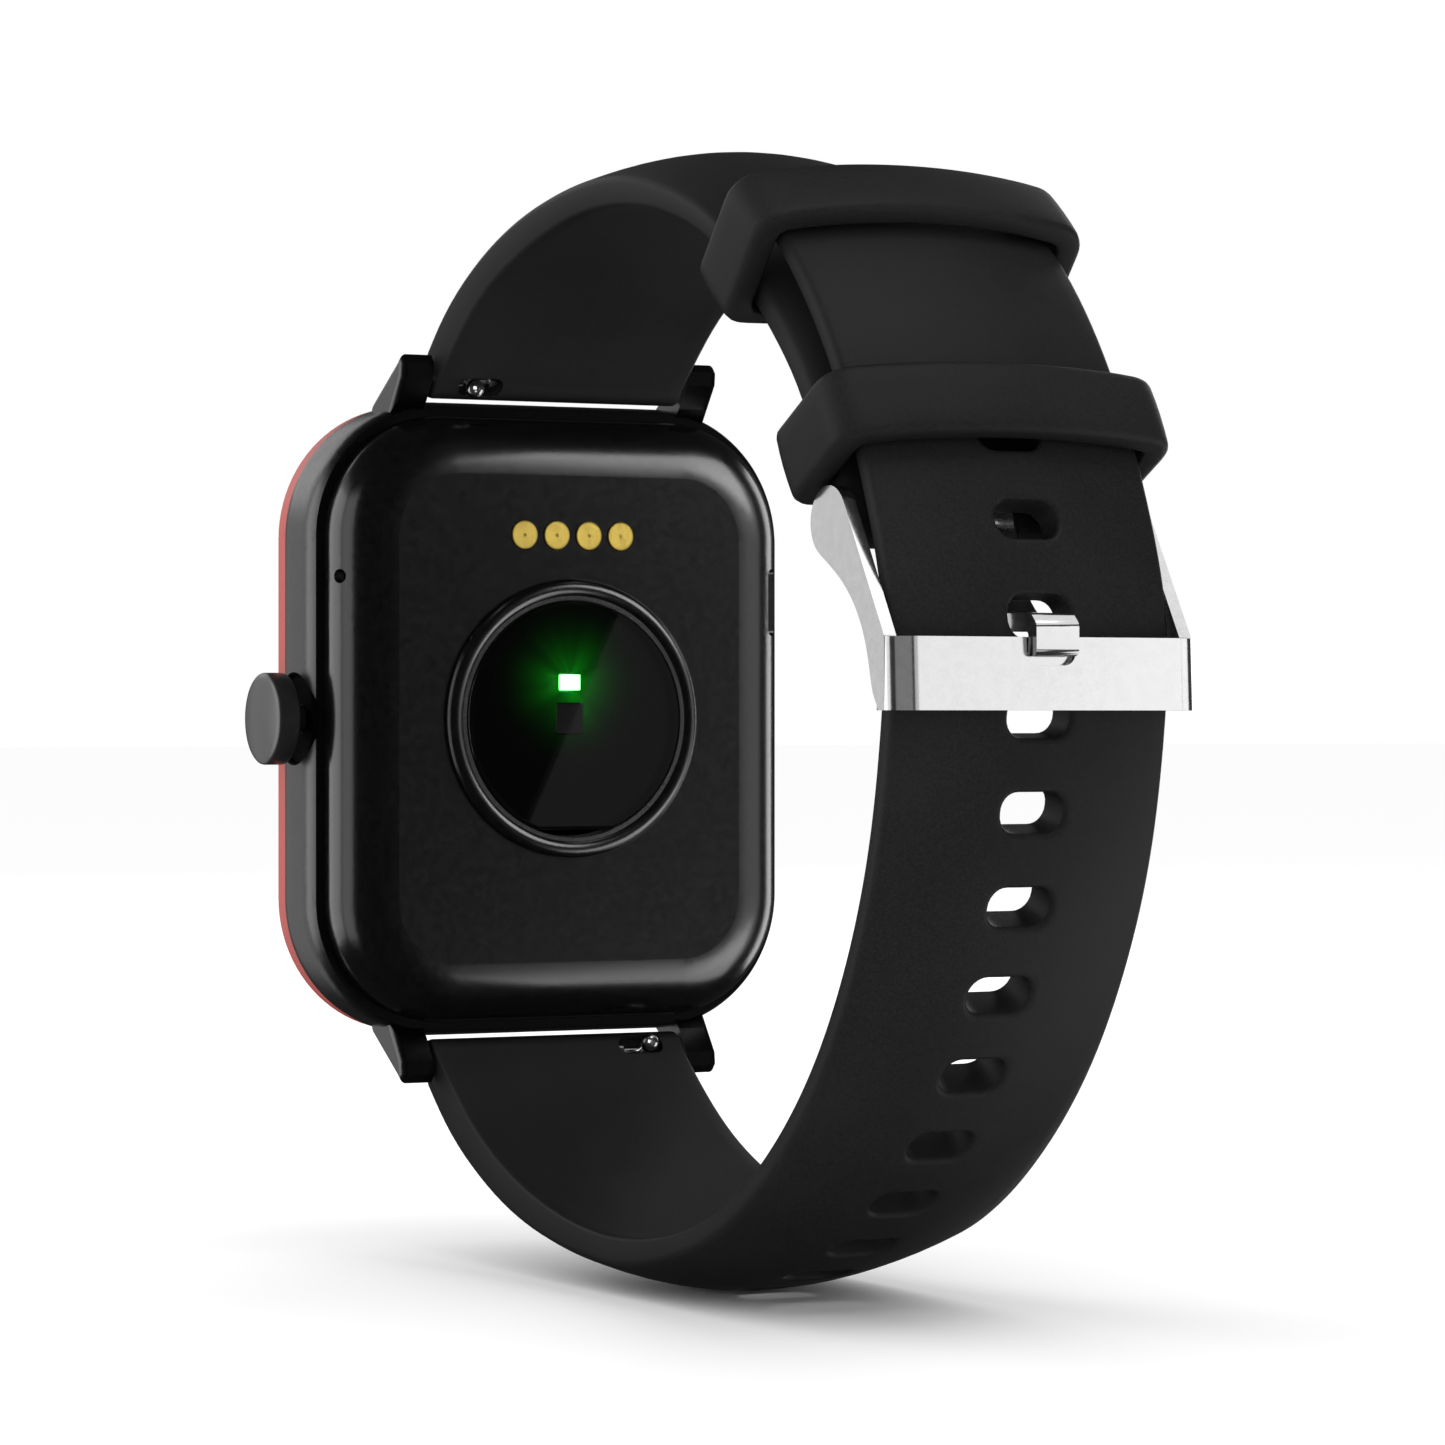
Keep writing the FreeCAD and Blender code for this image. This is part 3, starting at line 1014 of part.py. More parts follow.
def arched_outline(sketch, half, low, high, rise):
    """A rectangle whose upper side is an arch that stands rise above its ends."""
    wide, floor, shoulder, crown = value(half), value(low), value(high), value(rise)
    radius = (wide ** 2 + crown ** 2) / (2 * crown)
    middle = shoulder + crown - radius
    reach = math.atan2(shoulder - middle, wide)
    corners = [Vector(-wide, shoulder, 0), Vector(-wide, floor, 0), Vector(wide, floor, 0),
               Vector(wide, shoulder, 0)]
    lines = [sketch.addGeometry(Part.LineSegment(first, second), False)
             for first, second in zip(corners, corners[1:])]
    circle = Part.Circle(Vector(0, middle, 0), Vector(0, 0, 1), radius)
    arch = sketch.addGeometry(Part.ArcOfCircle(circle, reach, math.pi - reach), False)
    rules = [("Coincident", lines[0], 2, lines[1], 1), ("Coincident", lines[1], 2, lines[2], 1),
             ("Coincident", lines[2], 2, arch, 1), ("Coincident", arch, 2, lines[0], 1),
             ("Vertical", lines[0]), ("Horizontal", lines[1]), ("Vertical", lines[2]),
             ("PointOnObject", arch, 3, -2)]
    for rule in rules:
        sketch.addConstraint(Sketcher.Constraint(*rule))
    sizes = [("HalfWidth", ("DistanceX", -1, 1, lines[1], 2), half, wide),
             ("Floor", ("DistanceY", -1, 1, lines[1], 2), low, floor),
             ("Shoulder", ("DistanceY", -1, 1, lines[2], 2), high, shoulder),
             ("Arch", ("Radius", arch), f"(({half})^2 + ({rise})^2) / (2 * ({rise}))", radius)]
    for name, rule, text, number in sizes:
        added = sketch.addConstraint(Sketcher.Constraint(*rule, number))
        sketch.renameConstraint(added, name)
        link(sketch, f"Constraints.{name}", text)


# ---- buckle ----------------------------------------------------------------------------------

def side_plate(name, piece, offset, width, midplane=False):
    """A plate drawn in the YZ plane and padded along X."""
    body = doc.addObject("PartDesign::Body", name)
    sketch = new_sketch(body, name + "_side", "YZ_Plane", offset)
    side_outline(sketch, piece)
    pad(body, sketch, width, midplane)
    return body


def make_buckle():
    parts = []
    for side, start in (("crown_side", "arm_inner"), ("far_side", "-arm_inner - arm_width")):
        parts.append(side_plate("arm_" + side, "arm", start, "arm_width"))
        parts.append(rod("boss_" + side, "x", "boss_radius", (start, "pin_across", "pin_up"), "arm_width"))
    parts.append(side_plate("front_bar", "bar", "0", "2 * (arm_inner + arm_width)", midplane=True))
    whole = fuse("buckle_whole", *parts)
    notch_height = "2 * (bar_top - bar_notch_floor)"
    notch = box("bar_notch_box", ("2 * bar_notch", "3", notch_height),
                ("0", "bar_notch_rear + 1.5", "bar_top"))
    bores = rod("buckle_bore", "x", "pin_radius", ("-12", "pin_across", "pin_up"), "24")
    node("buckle_frame", cut("buckle_frame_done", whole, notch, bores))
    node("buckle_pin", rod("buckle_pin", "x", "pin_radius", ("-pin_half_length", "pin_across", "pin_up"),
                           "2 * pin_half_length"))

    arm = side_plate("tongue_arm", "tongue", "0", "2 * tongue_half_width", midplane=True)
    eye = rod("tongue_eye_rod", "x", "tongue_eye",
              ("-tongue_half_width", "pin_across", "pin_up"), "2 * tongue_half_width")
    bore = rod("tongue_bore", "x", "pin_radius + running_gap", ("-3", "pin_across", "pin_up"), "6")
    body = rounded("tongue_soft", arm, "tongue_edge",
                   lambda edge: edge.CenterOfMass.y > 61 and not straight_along(edge, Vector(1, 0, 0)))
    node("buckle_tongue", cut("buckle_tongue_done", fuse("tongue_whole", body, eye), bore))


# ---- build, check and write ------------------------------------------------------------------

make_mid_frame()
make_front()
make_back()
make_sensor()
make_inside()
make_crown()
make_spring_bar("top", 1, 1)
make_spring_bar("bottom", -1, -1)
make_straps()
make_keeper("lower_keeper")
make_keeper("upper_keeper")
make_buckle()
doc.recompute()

failed = [item.Name for item in doc.Objects if {"Invalid", "Error"} & set(item.State)]
for name, thing in nodes.items():
    if thing.Shape.isNull() or not thing.Shape.isValid() or not thing.Shape.Solids:
        failed.append(name)
if failed:
    raise RuntimeError("failed: " + ", ".join(failed))

os.makedirs("parts", exist_ok=True)
for name, thing in nodes.items():
    thing.Shape.exportStep(f"parts/{name}.step")
    print(f"{name}: {len(thing.Shape.Solids)} solid(s), {thing.Shape.Volume:.2f} mm3")
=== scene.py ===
import json
import math

import bmesh
import bpy
import numpy as np
from mathutils import Matrix, Vector


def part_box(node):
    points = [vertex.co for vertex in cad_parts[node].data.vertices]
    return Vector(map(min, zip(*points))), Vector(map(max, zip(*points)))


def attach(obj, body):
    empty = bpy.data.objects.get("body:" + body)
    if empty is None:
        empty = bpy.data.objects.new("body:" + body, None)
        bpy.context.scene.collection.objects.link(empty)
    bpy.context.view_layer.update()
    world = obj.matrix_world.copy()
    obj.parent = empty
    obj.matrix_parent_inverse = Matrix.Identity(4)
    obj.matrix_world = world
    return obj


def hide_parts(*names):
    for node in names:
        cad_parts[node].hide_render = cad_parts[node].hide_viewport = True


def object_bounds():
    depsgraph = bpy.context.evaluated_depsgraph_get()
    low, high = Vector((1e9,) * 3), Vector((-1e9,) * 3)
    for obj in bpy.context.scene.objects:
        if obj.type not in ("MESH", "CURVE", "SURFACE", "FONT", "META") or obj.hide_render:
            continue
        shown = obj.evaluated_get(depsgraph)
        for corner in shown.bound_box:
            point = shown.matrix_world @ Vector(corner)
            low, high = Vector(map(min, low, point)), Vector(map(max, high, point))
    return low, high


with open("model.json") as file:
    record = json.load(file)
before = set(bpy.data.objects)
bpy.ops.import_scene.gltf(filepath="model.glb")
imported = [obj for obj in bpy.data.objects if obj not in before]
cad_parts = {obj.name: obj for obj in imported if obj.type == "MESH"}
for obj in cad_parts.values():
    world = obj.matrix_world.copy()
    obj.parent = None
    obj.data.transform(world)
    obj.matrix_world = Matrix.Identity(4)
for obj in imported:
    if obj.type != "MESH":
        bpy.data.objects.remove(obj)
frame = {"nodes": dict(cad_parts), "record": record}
cad_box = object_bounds()

# A square smartwatch on a buckled silicone strap, in the row frame: X to the crown side, Y from the
# case to the buckle, Z to 12 o'clock. Camera, lights and distances in shaders are in metres. The
# shapes of the pieces are in millimetres, and MM turns those into metres.
MM = 0.001


# ---- shader nodes ---------------------------------------------------------------------------

def add_node(tree, kind, values=None, operation=None):
    """A node with some of its inputs set, by name or number."""
    made = tree.nodes.new("ShaderNode" + kind)
    if operation:
        made.operation = operation
    for socket, value in (values or {}).items():
        made.inputs[socket].default_value = value
    return made


def place_on_object(tree):
    return add_node(tree, "TexCoord").outputs["Object"]


def noise(tree, place, scale, detail):
    made = add_node(tree, "TexNoise", {"Scale": scale, "Detail": detail})
    tree.links.new(place, made.inputs["Vector"])
    return made.outputs["Fac"]


def remap(tree, source, low, high, to_low, to_high):
    """The source, with low turned into to_low and high into to_high."""
    made = add_node(tree, "MapRange", {"From Min": low, "From Max": high,
                                       "To Min": to_low, "To Max": to_high})
    tree.links.new(source, made.inputs["Value"])
    return made.outputs["Result"]


def ramp(tree, source, low, dark, high, light):
    """A colour that runs from dark, where the source is low, to light, where it is high."""
    made = add_node(tree, "ValToRGB")
    for stop, level, colour in zip(made.color_ramp.elements, (low, high), (dark, light)):
        stop.position = level
        stop.color = (*colour, 1)
    tree.links.new(source, made.inputs["Fac"])
    return made.outputs["Color"]


def calc(tree, operation, first, second):
    """The first value worked with the second, which is a number or another node's output."""
    made = add_node(tree, "Math", operation=operation)
    tree.links.new(first, made.inputs[0])
    if isinstance(second, bpy.types.NodeSocket):
        tree.links.new(second, made.inputs[1])
    else:
        made.inputs[1].default_value = second
    return made.outputs[0]


def distance_from(tree, middle):
    """How far the shaded point lies from a fixed point."""
    made = add_node(tree, "VectorMath", {1: middle}, "DISTANCE")
    tree.links.new(place_on_object(tree), made.inputs[0])
    return made.outputs["Value"]


def bump(tree, source, height):
    """A bump node whose height is in millimetres."""
    made = add_node(tree, "Bump", {"Strength": 1.0, "Distance": height * MM})
    tree.links.new(source, made.inputs["Height"])
    return made


# ---- camera, room and floor -----------------------------------------------------------------

CAMERA_PLACE = (0.1581, 0.3195, 0)
CAMERA_TURN = math.radians(28)           # off the watch's axis, to the crown side
FOCAL_LENGTH, SENSOR_WIDTH, SHIFT_UP = 124.57, 36, -0.0026
FLOOR_SIZE, FLOOR_GREY = 12, 0.97
ROOM_SEEN, ROOM_MIRRORED = 1.0, 0.03     # the room's brightness, to the eye and in reflections


def make_camera():
    data = bpy.data.cameras.new("camera")
    data.lens = FOCAL_LENGTH
    data.sensor_width = SENSOR_WIDTH
    data.shift_y = SHIFT_UP
    camera = bpy.data.objects.new("camera", data)
    camera.location = CAMERA_PLACE
    gaze = Vector((-math.sin(CAMERA_TURN), -math.cos(CAMERA_TURN), 0))
    camera.rotation_euler = gaze.to_track_quat("-Z", "Y").to_euler()
    bpy.context.scene.collection.objects.link(camera)
    bpy.context.scene.camera = camera
    bpy.context.scene.view_settings.view_transform = "Standard"


def make_room():
    """Even white light all round, kept out of reflections: highlights come from the soft boxes."""
    world = bpy.data.worlds.new("studio")
    bpy.context.scene.world = world
    world.use_nodes = True
    world.cycles.sampling_method = "NONE"
    tree = world.node_tree
    back = tree.nodes["Background"]
    back.inputs["Color"].default_value = (1, 1, 1, 1)
    ray = add_node(tree, "LightPath").outputs
    seen = calc(tree, "MAXIMUM", ray["Is Camera Ray"], ray["Is Diffuse Ray"])
    tree.links.new(remap(tree, seen, 0, 1, ROOM_MIRRORED, ROOM_SEEN), back.inputs["Strength"])


def make_floor():
    """A pale floor that shadows fall on, but that neither shows in the watch nor shades it."""
    bpy.ops.mesh.primitive_plane_add(size=FLOOR_SIZE, location=(0, 0, cad_box[0][2]))
    floor = bpy.context.object
    floor.name = "floor"
    pale = bpy.data.materials.new("pale_floor")
    pale.use_nodes = True
    shader = pale.node_tree.nodes["Principled BSDF"]
    shader.inputs["Base Color"].default_value = (*grey(FLOOR_GREY), 1)
    shader.inputs["Roughness"].default_value = 0.9
    shader.inputs["Specular IOR Level"].default_value = 0.0
    floor.data.materials.append(pale)
    floor.visible_glossy = False
    floor.visible_transmission = False
    floor.visible_shadow = False


# ---- soft boxes -----------------------------------------------------------------------------

CASE_NODES = ["mid_frame", "accent_ring", "back_cover", "back_gasket", "sensor_lens", "sensor_ring",
              "photodiode", "crown_knob_satin", "crown_well"]
PAD_COUNT = 4
PAD_NAMES = [f"charge_contact_{pad + 1}" for pad in range(PAD_COUNT)]

# What the soft boxes face.
CASE, LOOP, PADS = (0, 0, 0), (0, 0.03, 0), (0, 0, 0.013)
BUCKLE_ARM, BUCKLE_BAR = (0.01, 0.06, 0.005), (0, 0.064, 0.0027)

# A row is a soft box's name, the point that it faces, its direction and distance from there, its
# size, its brightness as seen and, if it is turned about its own axis, the angle in degrees.
# The boxes of a group reach only its objects, and only those shade them, as if the boxes stood
# inside the strap's loop.
GROUP_LIGHTS = {
    "case_side": (CASE_NODES, [
        ("case_wall", CASE, (0.40, -0.915, 0.05), 0.5, (0.24, 0.8), 0.75),
        ("left_wall", CASE, (0.93, -0.36, 0.03), 0.5, (0.50, 0.6), 2.3)]),
    "cover_side": (["back_cover", "sensor_rim", "sensor_ring"], [
        ("top_box", CASE, (-0.645, 0.657, 0.39), 0.5, (0.29, 0.20), 6.4),
        ("bottom_box", CASE, (-0.645, 0.657, -0.39), 0.5, (0.29, 0.21), 4.0),
        ("right_box", CASE, (-0.79, 0.613, 0), 0.5, (0.29, 0.45), 1.2),
        ("right_edge_box", CASE, (-0.988, -0.156, 0), 0.5, (0.18, 0.5), 3.8),
        ("left_rear", CASE, (0.925, 0.37, 0.02), 0.5, (0.24, 0.6), 1.9)]),
    "polished": (["buckle_frame_chrome", "buckle_tongue_chrome"], [
        ("arm_wall", BUCKLE_ARM, (0.62, -0.78, 0.05), 0.5, (0.6, 0.6), 0.58),
        ("bar_card", BUCKLE_BAR, (-0.526, 0.85, 0.095), 0.4, (0.16, 0.12), 0.96),
        ("bar_fade", BUCKLE_BAR, (-0.22, 0.97, 0.09), 0.4, (0.10, 0.12), 0.5),
        ("bar_dim", BUCKLE_BAR, (0.62, 0.78, -0.05), 0.4, (0.55, 0.5), 0.17),
        ("bar_low", BUCKLE_BAR, (0.35, 0.8, -0.45), 0.4, (0.7, 0.28), 0.6),
        ("bar_end", BUCKLE_BAR, (-0.87, 0.46, 0.07), 0.4, (0.26, 0.2), 1.05),
        ("steel_top", LOOP, (-0.4, 0.42, 0.8), 0.4, (0.45, 0.34), 0.8)]),
    "knobs": (["release_tip_top", "release_tip_bottom"], [
        ("knob_card", CASE, (0.3, 0.9, 0.25), 0.4, (0.35, 0.24), 1.8),
        ("knob_low", CASE, (0.1, 0.85, -0.4), 0.4, (0.2, 0.1), 1.2)]),
    "gold": (PAD_NAMES, [
        ("gold_wide", PADS, (-0.44, 0.89, 0.06), 0.4, (0.6, 0.6), 0.32),
        ("gold_spot", PADS, (-0.44, 0.89, 0.04), 0.4, (0.05, 0.05), 3.6)]),
    "front_glass": (["cover_glass"], [
        ("glass_card", CASE, (0.23, -0.96, 0.12), 0.5, (0.22, 0.6), 0.45, 20)]),
}
# These reach everything but the case and its front glass.
STRAP_LIGHTS = [
    ("rear_right", LOOP, (-0.80, -0.55, 0.1), 0.6, (0.25, 0.7), 2.0),
    ("right_low", LOOP, (-0.85, 0.3, -0.42), 0.6, (0.35, 0.45), 0.95),
    ("over_top", LOOP, (-0.1, 0.35, 0.93), 0.6, (0.5, 0.3), 1.0)]
# These reach everything. The lens card is what the sensor glass mirrors.
ROOM_LIGHTS = [
    ("side_wall", LOOP, (0.87, -0.42, 0.15), 0.6, (0.5, 0.7), 0.8),
    ("lens_card", CASE, (-0.509, 0.8605, 0.0015), 0.398, (0.055, 0.2), 0.16, -23.2),
    ("front_fill", CASE, (0.15, -0.9, 0.45), 0.7, (0.5, 0.35), 1.0)]


def group_of(name, members, state="INCLUDE"):
    """The named objects; or, with EXCLUDE, all objects but these."""
    group = bpy.data.collections.new(name)
    for member in members:
        group.objects.link(bpy.data.objects[member])
    for entry in group.collection_objects:
        entry.light_linking.link_state = state
    return group


def softbox(name, aim, direction, distance, size, radiance, roll=0.0):
    """A soft rectangular light. Its brightness is given as seen, not as power."""
    light = bpy.data.lights.new(name, "AREA")
    light.shape = "RECTANGLE"
    light.size, light.size_y = size
    light.energy = radiance * math.pi * size[0] * size[1]
    thing = bpy.data.objects.new(name, light)
    away = Vector(direction).normalized()
    thing.location = Vector(aim) + away * distance
    turned_to = (-away).to_track_quat("-Z", "Y").to_matrix()
    thing.rotation_euler = (turned_to @ Matrix.Rotation(math.radians(roll), 3, "Z")).to_euler()
    thing.visible_camera = False
    bpy.context.scene.collection.objects.link(thing)
    return thing


def make_lights():
    for name, (members, rows) in GROUP_LIGHTS.items():
        group = group_of(name, members)
        for row in rows:
            linking = softbox(*row).light_linking
            linking.receiver_collection = group
            linking.blocker_collection = group
    all_but_case = group_of("strap_side", CASE_NODES + ["cover_glass"], "EXCLUDE")
    for row in STRAP_LIGHTS:
        softbox(*row).light_linking.receiver_collection = all_but_case
    for row in ROOM_LIGHTS:
        softbox(*row)


# ---- looks ----------------------------------------------------------------------------------

LED_STRENGTH = 30.0
LED_REACH = 0.0011                       # from the LED's middle to where its face is all green
# The baffle's glow is painted light: emission in place of the LED's light falling on it.
PAINTED_GLOW_NEAR, PAINTED_GLOW_FAR = 0.0004, 0.0080     # where the painted glow of the LED's light on the baffle is full, and gone
PAINTED_GLOW_FALL = 5.0
PAINTED_GLOW_GREEN = (0.008, 0.75, 0.02)


def grey(level):
    return (level, level, level)


def new_material(name):
    made = bpy.data.materials.new(name)
    made.use_nodes = True
    return made, made.node_tree, made.node_tree.nodes["Principled BSDF"]


def look(name, dark, light, rough, mottle=90, grain=7000, grain_height=0.0, wave=0.0,
         metallic=0.0, specular=0.5):
    """A finish whose colour and roughness drift, with fine grain. mottle and grain are the scales
    of the drift and of the grain; grain_height and wave are their bumps' heights."""
    made, tree, shader = new_material(name)
    shader.inputs["Metallic"].default_value = metallic
    shader.inputs["Specular IOR Level"].default_value = specular
    place = place_on_object(tree)
    cloud = noise(tree, place, mottle, 5)
    speck = noise(tree, place, grain, 2)
    mix = add_node(tree, "Mix", {0: 0.5})
    tree.links.new(cloud, mix.inputs[2])
    tree.links.new(speck, mix.inputs[3])
    drift = mix.outputs[0]
    tree.links.new(ramp(tree, drift, 0.38, dark, 0.62, light), shader.inputs["Base Color"])
    tree.links.new(remap(tree, drift, 0.35, 0.65, *rough), shader.inputs["Roughness"])
    if grain_height:
        fine = bump(tree, speck, grain_height)
        tree.links.new(fine.outputs["Normal"], shader.inputs["Normal"])
        if wave:
            swell = bump(tree, cloud, wave)
            tree.links.new(swell.outputs["Normal"], fine.inputs["Normal"])
    return made


def clear_glass(name, tint, rough):
    made, tree, shader = new_material(name)
    shader.inputs["Base Color"].default_value = (*tint, 1)
    shader.inputs["Transmission Weight"].default_value = 1.0
    shader.inputs["IOR"].default_value = 1.5
    smear = noise(tree, place_on_object(tree), 220, 3)
    tree.links.new(remap(tree, smear, 0, 1, *rough), shader.inputs["Roughness"])
    return made


def lit_green(name, middle):
    """The LED's face: nearly white in the middle, green towards its edges."""
    made, tree, shader = new_material(name)
    shader.inputs["Base Color"].default_value = (0.1, 0.6, 0.15, 1)
    shader.inputs["Emission Strength"].default_value = LED_STRENGTH
    off = calc(tree, "MULTIPLY", distance_from(tree, middle), 1 / LED_REACH)
    tree.links.new(ramp(tree, off, 0.0, (0.75, 1, 0.78), 1.0, (0.02, 1, 0.08)),
                   shader.inputs["Emission Color"])
    return made


def baffle_with_painted_glow(middle):
    """Matt black with the LED's light on it painted in as emission: a glow that dies off, in soft
    painted streaks.
    """
    made = look("baffle_painted_glow", grey(0.0004), grey(0.001), (0.6, 0.8), grain=4000, specular=0.0)
    tree = made.node_tree
    shader = tree.nodes["Principled BSDF"]
    fade = remap(tree, distance_from(tree, middle), PAINTED_GLOW_NEAR, PAINTED_GLOW_FAR, 1.0, 0.0)
    painted_glow = calc(tree, "POWER", fade, PAINTED_GLOW_FALL)
    away = add_node(tree, "VectorMath", {1: middle}, "SUBTRACT")
    tree.links.new(place_on_object(tree), away.inputs[0])
    ray = add_node(tree, "VectorMath", operation="NORMALIZE")
    tree.links.new(away.outputs["Vector"], ray.inputs[0])
    painted_streaks = remap(tree, noise(tree, ray.outputs["Vector"], 1.7, 1), 0.35, 0.65, 0.55, 1.15)
    shader.inputs["Emission Color"].default_value = (*PAINTED_GLOW_GREEN, 1)
    tree.links.new(calc(tree, "MULTIPLY", painted_glow, painted_streaks), shader.inputs["Emission Strength"])
    return made


def turned_gold():
    """Gold whose fine turning marks run round each pad, so its highlights run across them."""
    made = look("turned_gold", (0.86, 0.62, 0.12), (0.95, 0.70, 0.17), (0.28, 0.36), metallic=1.0)
    tree = made.node_tree
    shader = tree.nodes["Principled BSDF"]
    shader.inputs["Anisotropic"].default_value = 0.92
    lay = add_node(tree, "Tangent")
    lay.direction_type = "RADIAL"
    lay.axis = "Y"
    tree.links.new(lay.outputs["Tangent"], shader.inputs["Tangent"])
    return made


led_low, led_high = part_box("heart_rate_led")
led_middle = (led_low + led_high) / 2
led_middle.y = led_high.y

# Finishes by the record's material slot; "well" is the matt black behind the crown, painted shade
# for its pocket.
LOOKS = {
    "silicone": look("black_silicone", grey(0.0115), grey(0.0165), (0.5, 0.6), grain=5200,
                     grain_height=0.006, wave=0.02, specular=0.35),
    "frame_finish": look("satin_black_case", grey(0.001), grey(0.002), (0.27, 0.34), mottle=1800,
                         grain=8000, grain_height=0.003, specular=0.55),
    "ring_finish": look("red_satin_ring", (0.27, 0.044, 0.037), (0.32, 0.055, 0.046), (0.38, 0.5),
                        grain=6000, grain_height=0.002, specular=0.3),
    "cover_plastic": look("gloss_black_cover", grey(0.001), grey(0.0025), (0.17, 0.22), mottle=1800,
                          grain=8500, grain_height=0.0035, specular=0.5),
    "sensor_trim": look("dark_polished_trim", grey(0.03), grey(0.05), (0.22, 0.3), metallic=0.6),
    "diode": look("photodiode", grey(0.80), grey(0.88), (0.12, 0.2), mottle=2500, metallic=1.0),
    "board": look("green_board", (0.01, 0.05, 0.02), (0.02, 0.09, 0.035), (0.35, 0.5), mottle=700),
    "contact_gold": turned_gold(),
    "steel": look("brushed_steel", grey(0.5), grey(0.62), (0.22, 0.34), grain=9000,
                  grain_height=0.001, metallic=1.0),
    "chrome": look("polished_chrome", grey(0.78), grey(0.86), (0.13, 0.18), mottle=1500,
                   metallic=1.0),
    "chip": look("chip_epoxy", grey(0.015), grey(0.03), (0.5, 0.65), grain_height=0.003),
    "inner_plastic": look("inner_plastic", grey(0.03), grey(0.05), (0.45, 0.6),
                          grain_height=0.004),
    "pouch": look("battery_pouch", grey(0.42), grey(0.55), (0.3, 0.45), grain_height=0.003,
                  metallic=0.8),
    "flex": look("amber_flex", (0.35, 0.14, 0.02), (0.5, 0.2, 0.03), (0.35, 0.45)),
    "mesh": look("speaker_mesh_black", grey(0.01), grey(0.03), (0.4, 0.6), grain=9000,
                 grain_height=0.01, metallic=0.5),
    "seal": look("rubber_seal", grey(0.01), grey(0.02), (0.6, 0.75), grain_height=0.003),
    "crown_finish": look("satin_crown", grey(0.012), grey(0.017), (0.3, 0.38), grain=8000,
                         grain_height=0.002, specular=0.6),
    # The well's near-unreflecting black is painted shade in the crown's pocket.
    "well": look("black_well_painted_shade", grey(0.0008), grey(0.0015), (0.7, 0.8), grain=4000, specular=0.05),
    "display": look("dark_display", (0.004, 0.005, 0.008), (0.008, 0.009, 0.014), (0.12, 0.2)),
    "led": lit_green("lit_led", led_middle),
    # The baffle's green glow is painted light from the LED, not a lamp of its own.
    "baffle": baffle_with_painted_glow(led_middle),
    "sensor_glass": clear_glass("sensor_glass", grey(0.3), (0.0, 0.02)),
    "screen_glass": clear_glass("screen_glass", grey(0.9), (0.0, 0.03)),
}


# ---- building pieces ------------------------------------------------------------------------

MERGE = 2e-6                             # points of a piece nearer than this are one point


def loose(name, vertices, faces, merge=0.0):
    """A mesh object from points in millimetres, with its normals outward: a cutter, a part of a
    piece, or a piece before it is dressed."""
    mesh = bpy.data.meshes.new(name)
    mesh.from_pydata([Vector(v) * MM for v in vertices], [], faces)
    work = bmesh.new()
    work.from_mesh(mesh)
    if merge:
        bmesh.ops.remove_doubles(work, verts=work.verts, dist=merge)
    bmesh.ops.recalc_face_normals(work, faces=work.faces)
    work.to_mesh(mesh)
    work.free()
    thing = bpy.data.objects.new(name, mesh)
    bpy.context.scene.collection.objects.link(thing)
    return thing


def piece(name, vertices, faces, body, slot, stands_for=(), sharp=40, finish=None):
    thing = loose(name, vertices, faces, MERGE)
    dress(thing, body, slot, stands_for, sharp, finish)
    return thing


def dress(thing, body, slot, stands_for, sharp, finish=None):
    """Gives a piece its finish, its shading and the body that it moves with. The finish is the
    slot's own unless another is named."""
    thing.data.materials.clear()
    thing.data.materials.append(LOOKS[finish or slot])
    soften(thing, sharp)
    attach(thing, body)
    if stands_for:
        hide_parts(*stands_for)


def soften(thing, sharp):
    """Smooth shading, broken only at edges sharper than an angle in degrees."""
    thing.data.polygons.foreach_set("use_smooth", [True] * len(thing.data.polygons))
    thing.data.set_sharp_from_angle(angle=math.radians(sharp))


def weigh_normals(thing):
    """Lets large flat faces keep their own normal where they meet small ones."""
    step = thing.modifiers.new("weigh", "WEIGHTED_NORMAL")
    step.keep_sharp = True
    step.weight = 100
    settle(thing)


def settle(thing):
    """Applies a piece's modifiers to its mesh."""
    graph = bpy.context.evaluated_depsgraph_get()
    solid = bpy.data.meshes.new_from_object(thing.evaluated_get(graph))
    thing.modifiers.clear()
    thing.data = solid


def combine(thing, tool, operation):
    step = thing.modifiers.new(operation.lower(), "BOOLEAN")
    step.operation = operation
    step.object = tool
    step.solver = "EXACT"
    settle(thing)
    bpy.data.objects.remove(tool)


def bevel(thing, width, segments=3):
    step = thing.modifiers.new("bevel", "BEVEL")
    step.width = width * MM
    step.segments = segments
    step.limit_method = "ANGLE"
    step.angle_limit = math.radians(30)
    step.harden_normals = True
    settle(thing)


def prism(name, outline, place, low, high):
    """An outline of flat points, extruded from low to high; place(a, b, c) gives each corner."""
    count = len(outline)
    vertices = [place(a, b, level) for level in (low, high) for a, b in outline]
    faces = [tuple(range(count)), tuple(range(2 * count - 1, count - 1, -1))]
    faces += [(i, (i + 1) % count, (i + 1) % count + count, i + count) for i in range(count)]
    return loose(name, vertices, faces)


